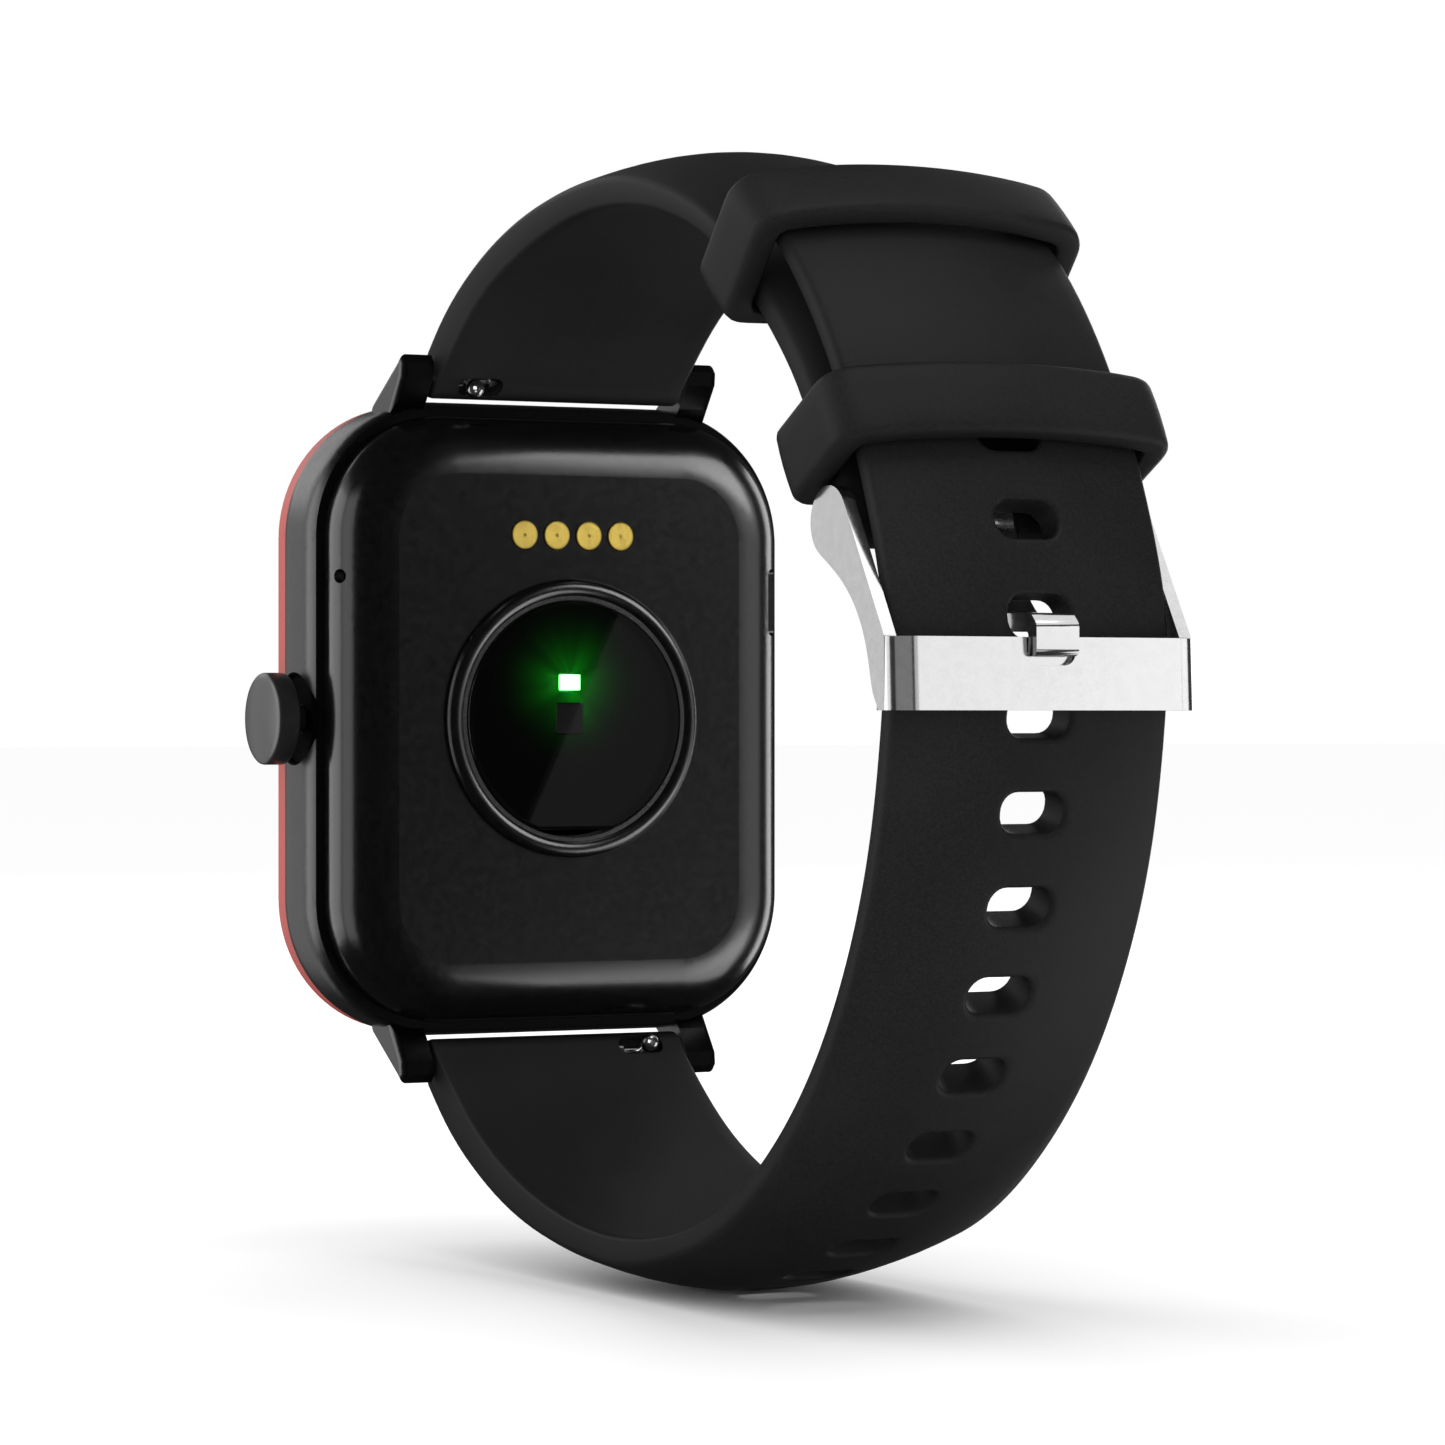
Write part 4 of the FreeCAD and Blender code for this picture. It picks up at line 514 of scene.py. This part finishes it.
def rounded_polygon(corners, steps=6):
    """A closed outline from corners (a, b, radius), each turned by an arc."""
    outline = []
    count = len(corners)
    for at, (a, b, radius) in enumerate(corners):
        here = Vector((a, b))
        if not radius:
            outline.append(tuple(here))
            continue
        before = (Vector(corners[at - 1][:2]) - here).normalized()
        after = (Vector(corners[(at + 1) % count][:2]) - here).normalized()
        half = before.angle(after) / 2
        reach = radius / math.tan(half)
        middle = here + (before + after).normalized() * radius / math.sin(half)
        first, last = here + before * reach - middle, here + after * reach - middle
        sweep = first.angle_signed(last)
        for step in range(steps + 1):
            outline.append(tuple(middle + Matrix.Rotation(-sweep * step / steps, 2) @ first))
    return outline


def resampled(outline, count):
    """The same closed outline at evenly spaced points."""
    points = np.array(outline + outline[:1])
    run = np.concatenate([[0], np.cumsum(np.hypot(*np.diff(points, axis=0).T))])
    at = np.linspace(0, run[-1], count, endpoint=False)
    return np.stack([np.interp(at, run, points[:, 0]), np.interp(at, run, points[:, 1])], 1)


def smooth_line(points, count):
    """A smooth open line through a few points."""
    track = Track([(*p, 0, 0) for p in points])
    return [tuple(track.at(distance)[0]) for distance in np.linspace(0, track.length, count)]


# ---- strap ----------------------------------------------------------------------------------

# Stations along each half: the wrist side's place (y, z), the edge's thickness, and how much the
# crowned middle rises above the edge.
SHORT = [(-2.2, 23.9, 3.05, 0.3), (0.13, 25.95, 3.1, 0.4), (3.5, 28.5, 2.8, 0.6),
         (11.3, 31.85, 2.45, 1.2), (18.4, 33.45, 2.1, 1.8), (25.2, 33.8, 1.9, 2.1),
         (31.8, 32.85, 1.6, 2.2), (38.1, 30.6, 1.5, 2.2), (46.2, 24.6, 1.5, 2.1),
         (50.75, 19.6, 1.55, 2.0), (53.0, 15.6, 1.7, 1.6), (54.85, 12.0, 2.6, 0.5)]
LONG = [(-2.2, -23.9, 3.05, 0.3), (1.1, -26.6, 3.1, 0.4), (5.0, -29.2, 2.8, 0.6),
        (11.0, -31.8, 2.45, 1.2), (18.0, -33.5, 2.1, 1.8), (25.2, -34.1, 1.9, 2.1),
        (32.3, -33.4, 1.6, 2.0), (39.7, -31.15, 1.4, 1.8), (46.4, -26.95, 1.3, 1.7),
        (51.9, -21.5, 1.3, 1.6), (55.9, -15.4, 1.3, 1.5), (58.85, -8.3, 1.3, 1.4),
        (60.4, -1.0, 1.3, 1.1), (60.75, 5.6, 1.25, 1.05), (59.1, 11.9, 1.2, 1.1),
        (56.55, 17.6, 1.2, 1.1), (53.0, 23.3, 1.2, 1.1), (48.45, 28.5, 1.1, 1.0),
        (46.35, 30.5, 0.9, 0.8)]
HALF_WIDTH = 9.8
OUTER_EDGE, WRIST_EDGE = 0.42, 0.28      # rounding of the strap's long edges
RIM_TURNS = (0, 30, 60, 90)              # steps of that rounding, in degrees
SIDE = 2 * (len(RIM_TURNS) - 1)          # points of a row on each side, between its two faces
ROW_STEP = 1.2                           # distance between rows of the plain strap
TAIL_EDGE = 0.38                         # rounding of the long half's tail
SLOT_HALF = (2.2, 1.2)                   # slot, half its length across and half its width along
SLOT_CORNER = 1.1
SLOT_RIMS = (0.34, 0.22)                 # rounding of its mouth, outside and on the wrist side
PATCH_HALF = (3.6, 2.1)                  # patch of the mesh round a slot
PATCH_COLUMNS, EDGE_COLUMNS = 12, 6      # faces across the patch, and beyond it on each side
FLAT_BELOW = 0.8                         # thinner rows keep their columns as they are
SLOT_PITCH, SLOT_MARGIN, SLOTS = 5.61, 17.75, 13
BAR = (-3.75, 24.15)                     # spring bar axis, y and z
PIN = (56.1, 11.9)                       # buckle pin axis
BAR_EYE, PIN_EYE = 1.4, 1.6              # the strap's radius round each
KNOB_HALF, KNOB_CORNER = (1.75, 0.78), 0.74
KNOB_ACROSS, KNOB_ALONG = 6.4, -0.42     # middle of the knob's opening, off the strap's end
NOTCH_HALF = 1.75                        # notch that the tongue swings in


class Track:
    """A smooth line through stations (y, z, edge, crown), read by distance along it."""

    def __init__(self, stations):
        self.values = np.array(stations, float)
        steps = np.hypot(*np.diff(self.values[:, :2], axis=0).T)
        self.knots = np.concatenate([[0], np.cumsum(steps)])
        count = len(self.knots)
        system, right = np.eye(count), np.zeros((count, 4))
        for i in range(1, count - 1):
            system[i, i - 1:i + 2] = steps[i - 1] / 6, (steps[i - 1] + steps[i]) / 3, steps[i] / 6
            right[i] = (np.diff(self.values[i:i + 2], axis=0)[0] / steps[i]
                        - np.diff(self.values[i - 1:i + 1], axis=0)[0] / steps[i - 1])
        self.bends = np.linalg.solve(system, right)
        fine = np.linspace(0, self.knots[-1], 3000)
        points = self.read(fine)[:, :2]
        self.fine = fine
        self.run = np.concatenate([[0], np.cumsum(np.hypot(*np.diff(points, axis=0).T))])
        self.length = self.run[-1]

    def read(self, knot):
        knot = np.atleast_1d(knot)
        i = np.clip(np.searchsorted(self.knots, knot) - 1, 0, len(self.knots) - 2)
        step = (self.knots[i + 1] - self.knots[i])[:, None]
        b = (knot - self.knots[i])[:, None] / step
        a = 1 - b
        return (a * self.values[i] + b * self.values[i + 1]
                + ((a ** 3 - a) * self.bends[i] + (b ** 3 - b) * self.bends[i + 1]) * step ** 2 / 6)

    def at(self, distance):
        """Point, direction, edge and crown. Past an end the line runs on straight."""
        inside = min(max(distance, 0), self.length)
        knot = np.interp(inside, self.run, self.fine)
        near = self.read([max(knot - 0.01, 0), min(knot + 0.01, self.knots[-1])])[:, :2]
        ahead = (near[1] - near[0]) / np.linalg.norm(near[1] - near[0])
        y, z, edge, crown = self.read(knot)[0]
        return np.array([y, z]) + ahead * (distance - inside), ahead, edge, crown


class Band:
    """A strap half: a track, the side that faces outward, and its surface."""

    def __init__(self, stations, outward):
        self.track = Track(stations)
        self.outward = outward

    def frame_at(self, distance):
        point, ahead, edge, crown = self.track.at(distance)
        normal = np.array([-ahead[1], ahead[0]]) * self.outward
        return point, ahead, normal, edge, crown

    def place(self, distance, x, height):
        point, _, normal, _, _ = self.frame_at(distance)
        y, z = point + normal * height
        return (x, y, z)

    def local(self, distance, target):
        """How far past a place along the track a point lies, and how high above the wrist side."""
        point, ahead, normal, _, _ = self.frame_at(distance)
        gap = np.array(target) - point
        return gap @ ahead, gap @ normal


def arch(x, edge, crown):
    if crown < 1e-4:
        return edge
    radius = (HALF_WIDTH ** 2 + crown ** 2) / (2 * crown)
    return edge + crown - radius + math.sqrt(radius ** 2 - x ** 2)


def rim(radius, angles):
    """Steps of a rounded rim: how far in from the edge, and how far below the face."""
    return [(radius * (1 - math.cos(math.radians(a))), radius * (1 - math.sin(math.radians(a))))
            for a in angles]


def round_end(band, distance, axis, radius, sign):
    """Rows that close a strap end round a bar: (distance, bottom, edge, crown)."""
    past, height = band.local(distance, axis)
    _, _, _, edge, crown = band.frame_at(distance)
    lead = abs(past)
    rows = []
    for share in (0.35, 0.7) if lead > 0.5 else ():
        ease = share * share * (3 - 2 * share)
        rows.append((distance + sign * lead * share, (height - radius) * ease,
                     edge + (height + radius - edge) * ease, crown * (1 - ease)))
    for turn in (0, 15, 30, 45, 60, 72, 82, 90):
        half = radius * math.cos(math.radians(turn))
        rows.append((distance + sign * (lead + radius * math.sin(math.radians(turn))),
                     height - half, height + half, 0.0))
    return rows if sign > 0 else rows[::-1]


def flat_end(distance, edge, crown, radius):
    """Rows that round off a plain strap end."""
    rows = []
    for turn in (25, 50, 75, 90):
        fall = radius * (1 - math.cos(math.radians(turn)))
        rows.append((distance + radius * math.sin(math.radians(turn)), fall, edge - fall, crown))
    return rows


def strap_mesh(band, rows, slots):
    """Vertices and faces of a strap half. slots are the distances of the slots' centres."""
    patch_x, patch_u = PATCH_HALF
    inner = np.linspace(-patch_x, patch_x, PATCH_COLUMNS + 1)
    outer = np.linspace(patch_x, HALF_WIDTH - OUTER_EDGE, EDGE_COLUMNS + 1)[1:]
    columns = np.concatenate([-outer[::-1], inner, outer])
    first, last = EDGE_COLUMNS, EDGE_COLUMNS + PATCH_COLUMNS
    width = len(columns)
    vertices, faces, loops = [], [], []
    for distance, bottom, edge, crown in rows:
        thick = edge - bottom
        top_rim = rim(min(OUTER_EDGE, 0.45 * thick), RIM_TURNS)
        low_rim = rim(min(WRIST_EDGE, 0.45 * thick), RIM_TURNS)
        spread = (HALF_WIDTH - low_rim[-1][0]) / columns[-1]
        loop = [(x * spread, bottom) for x in columns]
        side = [(HALF_WIDTH - d, bottom + fall) for d, fall in low_rim[-2::-1]]
        side += [(HALF_WIDTH - d, arch(HALF_WIDTH - d, edge, crown) - fall)
                 for d, fall in top_rim[:-1]]
        spread = (HALF_WIDTH - top_rim[-1][0]) / columns[-1]
        loop += side
        loop += [(x * spread, arch(x * spread, edge, crown)) for x in columns[::-1]]
        loop += [(-x, height) for x, height in side[::-1]]
        if slots and thick > FLAT_BELOW:
            loop[:width] = [(x if abs(x) <= patch_x + 1e-6 else old[0], bottom)
                            for x, old in zip(columns, loop[:width])]
        loops.append(len(vertices))
        vertices += [band.place(distance, x, height) for x, height in loop]
    total = 2 * (width + SIDE)
    spans = [row[0] for row in rows]
    open_rows = {}
    for slot in slots:
        low = min(range(len(rows)), key=lambda i: abs(spans[i] - (slot - patch_u)))
        high = min(range(len(rows)), key=lambda i: abs(spans[i] - (slot + patch_u)))
        open_rows[slot] = (low, high)
    for row in range(len(rows) - 1):
        holed = any(low <= row < high for low, high in open_rows.values())
        for at in range(total):
            in_patch = first <= at < last or first <= 2 * width + SIDE - 2 - at < last
            if holed and in_patch:
                continue
            after = (at + 1) % total
            faces.append((loops[row] + at, loops[row] + after,
                          loops[row + 1] + after, loops[row + 1] + at))
    for slot, (low, high) in open_rows.items():
        add_slot(band, slot, low, high, columns[first:last + 1], first, width,
                 rows, loops, vertices, faces)
    close_end(loops[0], width, faces, rows[0])
    close_end(loops[-1], width, faces, rows[-1])
    return vertices, faces


def close_end(start, width, faces, row):
    """Faces that close a strap end whose last row still has some thickness."""
    _, bottom, edge, _ = row
    if edge - bottom < 1e-3:
        return
    corner = start + 2 * width + SIDE - 1
    for i in range(width - 1):
        faces.append((start + i, start + i + 1, corner - i - 1, corner - i))
    faces.append(tuple(start + width - 1 + i for i in range(SIDE + 2)))
    faces.append((*(corner + i for i in range(SIDE + 1)), start))


def slot_points(directions, offset):
    """Points on the slot's outline, moved out by offset, along rays from its centre."""
    half = np.array(SLOT_HALF) - SLOT_CORNER
    low, high = np.zeros(len(directions)), np.ones(len(directions))
    for _ in range(40):
        middle = (low + high) / 2
        q = np.abs(directions * middle[:, None]) - half
        away = np.hypot(*np.maximum(q, 0).T) + np.minimum(q.max(1), 0) - SLOT_CORNER
        high = np.where(away > offset, middle, high)
        low = np.where(away > offset, low, middle)
    return directions * high[:, None]


def add_slot(band, slot, low, high, xs, first, width, rows, loops, vertices, faces):
    """The rounded slot itself: rims on both faces and the wall between them."""
    count = len(xs) - 1
    ring = [(low, i) for i in range(count)] + [(row, count) for row in range(low, high)]
    ring += [(high, count - i) for i in range(count)] + [(row, 0) for row in range(high, low, -1)]
    rays = np.array([(xs[i], rows[row][0] - slot) for row, i in ring])
    ends = []
    for top in (True, False):
        boundary = [loops[row] + (2 * width + SIDE - 1 - first - i if top else first + i)
                    for row, i in ring]
        steps = rim(SLOT_RIMS[0] if top else SLOT_RIMS[1], (90, 65, 40, 20, 0))
        start = slot_points(rays, steps[0][0])
        rings = [(start + (rays - start) * share, 0.0) for share in (0.6, 0.25)]
        rings += [(slot_points(rays, offset), fall) for offset, fall in steps]
        before = boundary
        for points, fall in rings:
            now = []
            for x, along in points:
                distance = slot + along
                _, _, _, edge, crown = band.frame_at(distance)
                height = arch(x, edge, crown) - fall if top else fall
                now.append(len(vertices))
                vertices.append(band.place(distance, x, height))
            for i in range(len(now)):
                j = (i + 1) % len(now)
                faces.append((before[i], before[j], now[j], now[i]))
            before = now
        ends.append(before)
    upper, lower = ends
    for i in range(len(upper)):
        j = (i + 1) % len(upper)
        faces.append((upper[i], upper[j], lower[j], lower[i]))


def band_row(band, distance):
    _, _, _, edge, crown = band.frame_at(distance)
    return (distance, 0.0, edge, crown)


def band_rows(band, start, stop, step):
    count = max(2, round((stop - start) / step) + 1)
    return [band_row(band, distance) for distance in np.linspace(start, stop, count)]


def knob_opening(band, side):
    """The rounded opening on the wrist side through which the quick-release knob stands."""
    across, along = KNOB_HALF
    corners = [(-across, -along), (across, -along), (across, along), (-across, along)]
    outline = rounded_polygon([(*corner, KNOB_CORNER) for corner in corners])
    return prism("knob_opening", outline,
                 lambda a, b, c: band.place(KNOB_ALONG + b, side * KNOB_ACROSS + a, c), -1.5, 2.2)


def make_long_strap():
    band = Band(LONG, -1)
    end = band.track.length
    slots = [end - SLOT_MARGIN - k * SLOT_PITCH for k in range(SLOTS)][::-1]
    patch = PATCH_HALF[1]
    rows = round_end(band, 0, (BAR[0], -BAR[1]), BAR_EYE, -1)
    rows += band_rows(band, 0, slots[0] - SLOT_PITCH / 2, ROW_STEP)
    for slot in slots:
        rows += band_rows(band, slot - patch, slot + patch, patch / 4)
        rows.append(band_row(band, slot + SLOT_PITCH / 2))
    rows += band_rows(band, slots[-1] + SLOT_PITCH / 2 + 1, end - 0.4, ROW_STEP)
    distance, _, edge, crown = rows[-1]
    rows += flat_end(distance, edge, crown, TAIL_EDGE)
    strap = piece("strap_long_silicone", *strap_mesh(band, rows, slots), "watch", "silicone",
                  ["strap_long"])
    combine(strap, knob_opening(band, -1), "DIFFERENCE")
    soften(strap, 40)


def make_short_strap():
    band = Band(SHORT, 1)
    end = band.track.length
    rows = round_end(band, 0, BAR, BAR_EYE, -1)
    rows += band_rows(band, 0, end, ROW_STEP)
    rows += round_end(band, end, PIN, PIN_EYE, 1)
    strap = piece("strap_short_silicone", *strap_mesh(band, rows, []), "watch", "silicone",
                  ["strap_short"])
    combine(strap, knob_opening(band, 1), "DIFFERENCE")
    notch = rounded_polygon([(-NOTCH_HALF, 7.2, 0), (NOTCH_HALF, 7.2, 0),
                             (NOTCH_HALF, 14.1, 1.0), (-NOTCH_HALF, 14.1, 1.0)])
    combine(strap, prism("notch", notch, lambda a, b, c: (a, c, b), 51.5, 60), "DIFFERENCE")
    soften(strap, 40)


# ---- keepers --------------------------------------------------------------------------------

# Middle (y, z), tilt in degrees and body of each.
KEEPERS = {"lower_keeper": (53.15, 15.9, 29.5, "lower_keeper_loop"),
           "upper_keeper": (43.55, 27.5, 50.0, "upper_keeper_loop")}
KEEPER_HALF = 2.45                       # half its width along the strap
KEEPER_EDGE, KEEPER_LIP = 0.55, 0.22     # rounding outside and inside
KEEPER_SWELL = 0.07                      # fall of its outer face from the middle to the edges
KEEPER_STEPS = 144


def loop_outline(half, low, shoulder, rise, corner, foot, count):
    """A rectangle with an arched top, from the middle of its floor and round."""
    radius = (half ** 2 + rise ** 2) / (2 * rise)
    top = [(x, shoulder + rise - radius + math.sqrt(radius ** 2 - x ** 2), 0)
           for x in np.linspace(half - 2.9, 2.9 - half, 27)]
    corners = [(0, low, 0), (half, low, foot), (half, shoulder, corner), *top,
               (-half, shoulder, corner), (-half, low, foot)]
    return resampled(rounded_polygon(corners, 8), count)


def make_keeper(name):
    y, z, tilt, body = KEEPERS[name]
    tilt = math.radians(tilt)
    middle = np.array([y, z])
    across = np.array([math.cos(tilt), math.sin(tilt)])
    along = np.array([-math.sin(tilt), math.cos(tilt)])
    outer = loop_outline(12.0, -1.8, 6.4, 1.5, 2.2, 1.4, KEEPER_STEPS)
    inner = loop_outline(10.15, -0.8, 5.35, 1.05, 0.9, 0.6, KEEPER_STEPS)
    half, edge, lip = KEEPER_HALF, KEEPER_EDGE, KEEPER_LIP
    flat = [(-KEEPER_SWELL * share ** 2, share * (half - edge)) for share in (-1, -0.5, 0, 0.5, 1)]
    corner = [(-KEEPER_SWELL - edge * (1 - math.cos(math.radians(a))),
               half - edge + edge * math.sin(math.radians(a))) for a in (30, 60, 90)]
    inside = [(lip * (1 - math.sin(math.radians(a))), half - lip + lip * math.cos(math.radians(a)))
              for a in (0, 45, 90)]
    vertices, faces = [], []
    for o, i in zip(outer, inner):
        reach = i - o
        reach = reach / np.linalg.norm(reach)
        ring = [(o - reach * a, b) for a, b in flat + corner]
        ring += [(i - reach * a, b) for a, b in inside]
        ring += [(i - reach * a, -b) for a, b in inside[::-1]]
        ring += [(o - reach * a, -b) for a, b in corner[::-1]]
        vertices += [(x, *(middle + across * out + along * by)) for (x, out), by in ring]
    size = len(vertices) // KEEPER_STEPS
    for at in range(KEEPER_STEPS):
        after = (at + 1) % KEEPER_STEPS
        for i in range(size):
            j = (i + 1) % size
            faces.append((at * size + i, at * size + j, after * size + j, after * size + i))
    piece(name + "_silicone", vertices, faces, body, "silicone", [name], sharp=60)


# ---- buckle ---------------------------------------------------------------------------------

ARM_IN, ARM_OUT = 9.98, 10.83            # faces of the frame's arms
ARM_FOOT, BAR_FRONT = 61.9, 64.2         # where the bar's bends start, and its front face
BAR_THICK, BAR_LEAN = 0.9, 0.045
BAR_LOW, BAR_HIGH = 0.5, 4.9
BEND_OUT, BEND_IN = 1.7, 0.85
BOSS = 2.2                               # the arm's radius round the pin
TONGUE_HALF, EYE_HALF, EYE = 1.5, 1.35, 1.5


def make_buckle_frame():
    turns = [math.radians(a) for a in np.linspace(33, 241, 22)]
    boss = [(PIN[0] + BOSS * math.cos(a), PIN[1] + BOSS * math.sin(a)) for a in turns]
    sway = smooth_line([(55.1, 9.92), (56.2, 9.3), (57.6, 8.4), (59.3, 6.8), (60.6, 4.6),
                        (61.2, 2.6), (61.7, 1.2), (62.3, 0.5)], 20)
    outline = boss + sway + [(62.85, 0.5), (62.85, 4.95)]
    back = BAR_FRONT - BAR_THICK
    u_shape = rounded_polygon([(ARM_OUT, ARM_FOOT, 0), (ARM_OUT, BAR_FRONT, BEND_OUT),
                               (-ARM_OUT, BAR_FRONT, BEND_OUT), (-ARM_OUT, ARM_FOOT, 0),
                               (-ARM_IN, ARM_FOOT, 0), (-ARM_IN, back, BEND_IN),
                               (ARM_IN, back, BEND_IN), (ARM_IN, ARM_FOOT, 0)], 10)
    bar = prism("bar", u_shape, lambda a, b, c: (a, b - BAR_LEAN * (c - 2.7), c), BAR_LOW, BAR_HIGH)
    for side in (1, -1):
        arm = prism("arm", outline, lambda a, b, c: (side * c, a, b), ARM_IN, ARM_OUT)
        combine(bar, arm, "UNION")
    notch = rounded_polygon([(-1.72, 6.5, 0), (-1.72, 3.2, 0.8), (1.72, 3.2, 0.8), (1.72, 6.5, 0)])
    combine(bar, prism("notch", notch, lambda a, b, c: (a, c, b), 63.7, 66), "DIFFERENCE")
    bevel(bar, 0.16)
    bar.name = "buckle_frame_chrome"
    dress(bar, "buckle", "chrome", ["buckle_frame"], 35)
    weigh_normals(bar)


def make_tongue():
    side_view = [(57.2, 12.6, 0.6), (59.3, 7.2, 1.0), (60.2, 6.35, 1.0), (64.2, 6.35, 0.6),
                 (64.9, 5.7, 0.6), (64.9, 3.8, 0.4), (63.95, 3.7, 0.25), (63.95, 5.25, 0.3),
                 (61.0, 5.25, 0.5), (59.2, 6.0, 0.8), (55.6, 10.7, 0.4)]
    tongue = prism("buckle_tongue_chrome", rounded_polygon(side_view, 5),
                   lambda a, b, c: (c, a, b), -TONGUE_HALF, TONGUE_HALF)
    turns = np.linspace(0, 2 * math.pi, 40, endpoint=False)
    circle = [(PIN[0] + EYE * math.cos(a), PIN[1] + EYE * math.sin(a)) for a in turns]
    combine(tongue, prism("eye", circle, lambda a, b, c: (c, a, b), -EYE_HALF, EYE_HALF), "UNION")
    bevel(tongue, 0.45, 5)
    dress(tongue, "tongue", "chrome", ["buckle_tongue"], 50)
    weigh_normals(tongue)


# ---- turned pieces: crown, charging contacts, sensor rim ------------------------------------

CROWN_Y = -7.2                           # the crown's axis
CROWN_TOP, CROWN_RADIUS = 21.5, 3.08     # of its domed face
CROWN_EDGE, CROWN_FALL = 0.17, 0.3       # rounding of the dome's edge, and how far the dome falls
PAD_PITCH, PAD_Z, PAD_FACE = 2.54, 13.08, -0.56
PAD_RADIUS, PAD_FOOT = 1.02, -3.3


def turned(profile, place, count):
    """A solid of revolution from (height along the axis, radius) pairs. It is closed by a face at
    each end if it starts near its axis, and by a bore if it doesn't."""
    vertices, faces = [], []
    for height, radius in profile:
        for step in range(count):
            turn = 2 * math.pi * step / count
            vertices.append(place(height, radius * math.cos(turn), radius * math.sin(turn)))
    for ring in range(len(profile) - 1):
        for step in range(count):
            after = (step + 1) % count
            faces.append((ring * count + step, ring * count + after,
                          (ring + 1) * count + after, (ring + 1) * count + step))
    last = (len(profile) - 1) * count
    if profile[0][1] < 0.5:
        faces.append(tuple(range(count)))
        faces.append(tuple(range(last, last + count)))
    else:
        faces += [(last + step, last + (step + 1) % count, (step + 1) % count, step)
                  for step in range(count)]
    return vertices, faces


def on_crown(height, a, b):
    return (height, CROWN_Y + a, b)


def make_crown():
    dome = [(CROWN_TOP - CROWN_FALL * share ** 2, CROWN_RADIUS * share)
            for share in (0.03, 0.15, 0.3, 0.45, 0.6, 0.75, 0.9, 1)]
    edge = [(20.99 + CROWN_EDGE * math.cos(math.radians(a)),
             CROWN_RADIUS + CROWN_EDGE * math.sin(math.radians(a))) for a in (30, 60, 90)]
    skirt = [(19.75, 3.25), (19.65, 3.2), (19.6, 3.1), (19.6, 1.6), (19.55, 1.3), (19.35, 1.05),
             (19.1, 0.95), (14.6, 0.95)]
    piece("crown_knob_satin", *turned(dome + edge + skirt, on_crown, 72), "crown_knob",
          "crown_finish", ["crown"], sharp=35)


def make_crown_well():
    """The matt black pocket that shows round the crown's stem; its black, with almost no
    reflection, is painted shade.
    """
    well = [(18.66, 3.29), (18.66, 3.2), (18.3, 3.12), (18.24, 3.0), (18.24, 1.02), (18.2, 1.02),
            (18.2, 3.29)]
    piece("crown_well", *turned(well, on_crown, 72), "watch", "seal", finish="well")


def make_contacts():
    """Gold pads with a centre dimple and a rounded edge."""
    face = [(PAD_FACE, radius) for radius in np.linspace(0.06, 0.96, 16)[1:]]
    profile = [(PAD_FACE - 0.02, 0.02), (PAD_FACE - 0.008, 0.06), *face, (PAD_FACE - 0.012, 1.0),
               (PAD_FACE - 0.04, PAD_RADIUS), (PAD_FOOT, PAD_RADIUS)]
    for pad, name in enumerate(PAD_NAMES):
        x = PAD_PITCH * (pad - (PAD_COUNT - 1) / 2)
        shape = turned(profile, lambda height, a, b: (x + a, height, PAD_Z + b), 48)
        piece(name, *shape, "watch", "contact_gold", ["charge_contacts"], sharp=30)


def make_sensor_rings():
    """The rounded ridge that frames the sensor glass, and the black border behind the glass, which
    also carries the baffle's painted glow of the LED's light.
    """
    inner, outer, foot, rise = 8.72, 9.86, -0.34, 0.24
    middle, half = (inner + outer) / 2, (outer - inner) / 2
    bend = (half ** 2 + rise ** 2) / (2 * rise)
    reach = math.asin(half / bend)
    ridge = [(foot + rise - bend + bend * math.cos(a), middle + bend * math.sin(a))
             for a in np.linspace(-reach, reach, 15)]
    border = [(-1.41, 6.55), (-1.41, 8.36), (-1.44, 8.36), (-1.44, 6.55)]
    ridge += [(-0.9, outer), (-0.9, inner)]
    # The border's look is the baffle's, with its painted glow of the LED's light.
    for name, profile, slot in (("sensor_rim", ridge, "cover_plastic"),
                                ("lens_border", border, "baffle")):
        shape = turned(profile, lambda height, a, b: (a, height, b), 160)
        piece(name, *shape, "watch", slot, sharp=50)


# ---- the carried-over nodes -----------------------------------------------------------------

def dress_nodes():
    for part in frame["record"]["subparts"]:
        thing = frame["nodes"][part["node"]]
        thing.data.materials.clear()
        thing.data.materials.append(LOOKS[part["material_slot"]])


make_camera()
make_room()
make_floor()
dress_nodes()
make_long_strap()
make_short_strap()
for keeper in KEEPERS:
    make_keeper(keeper)
make_buckle_frame()
make_tongue()
make_crown()
make_crown_well()
make_contacts()
make_sensor_rings()
make_lights()
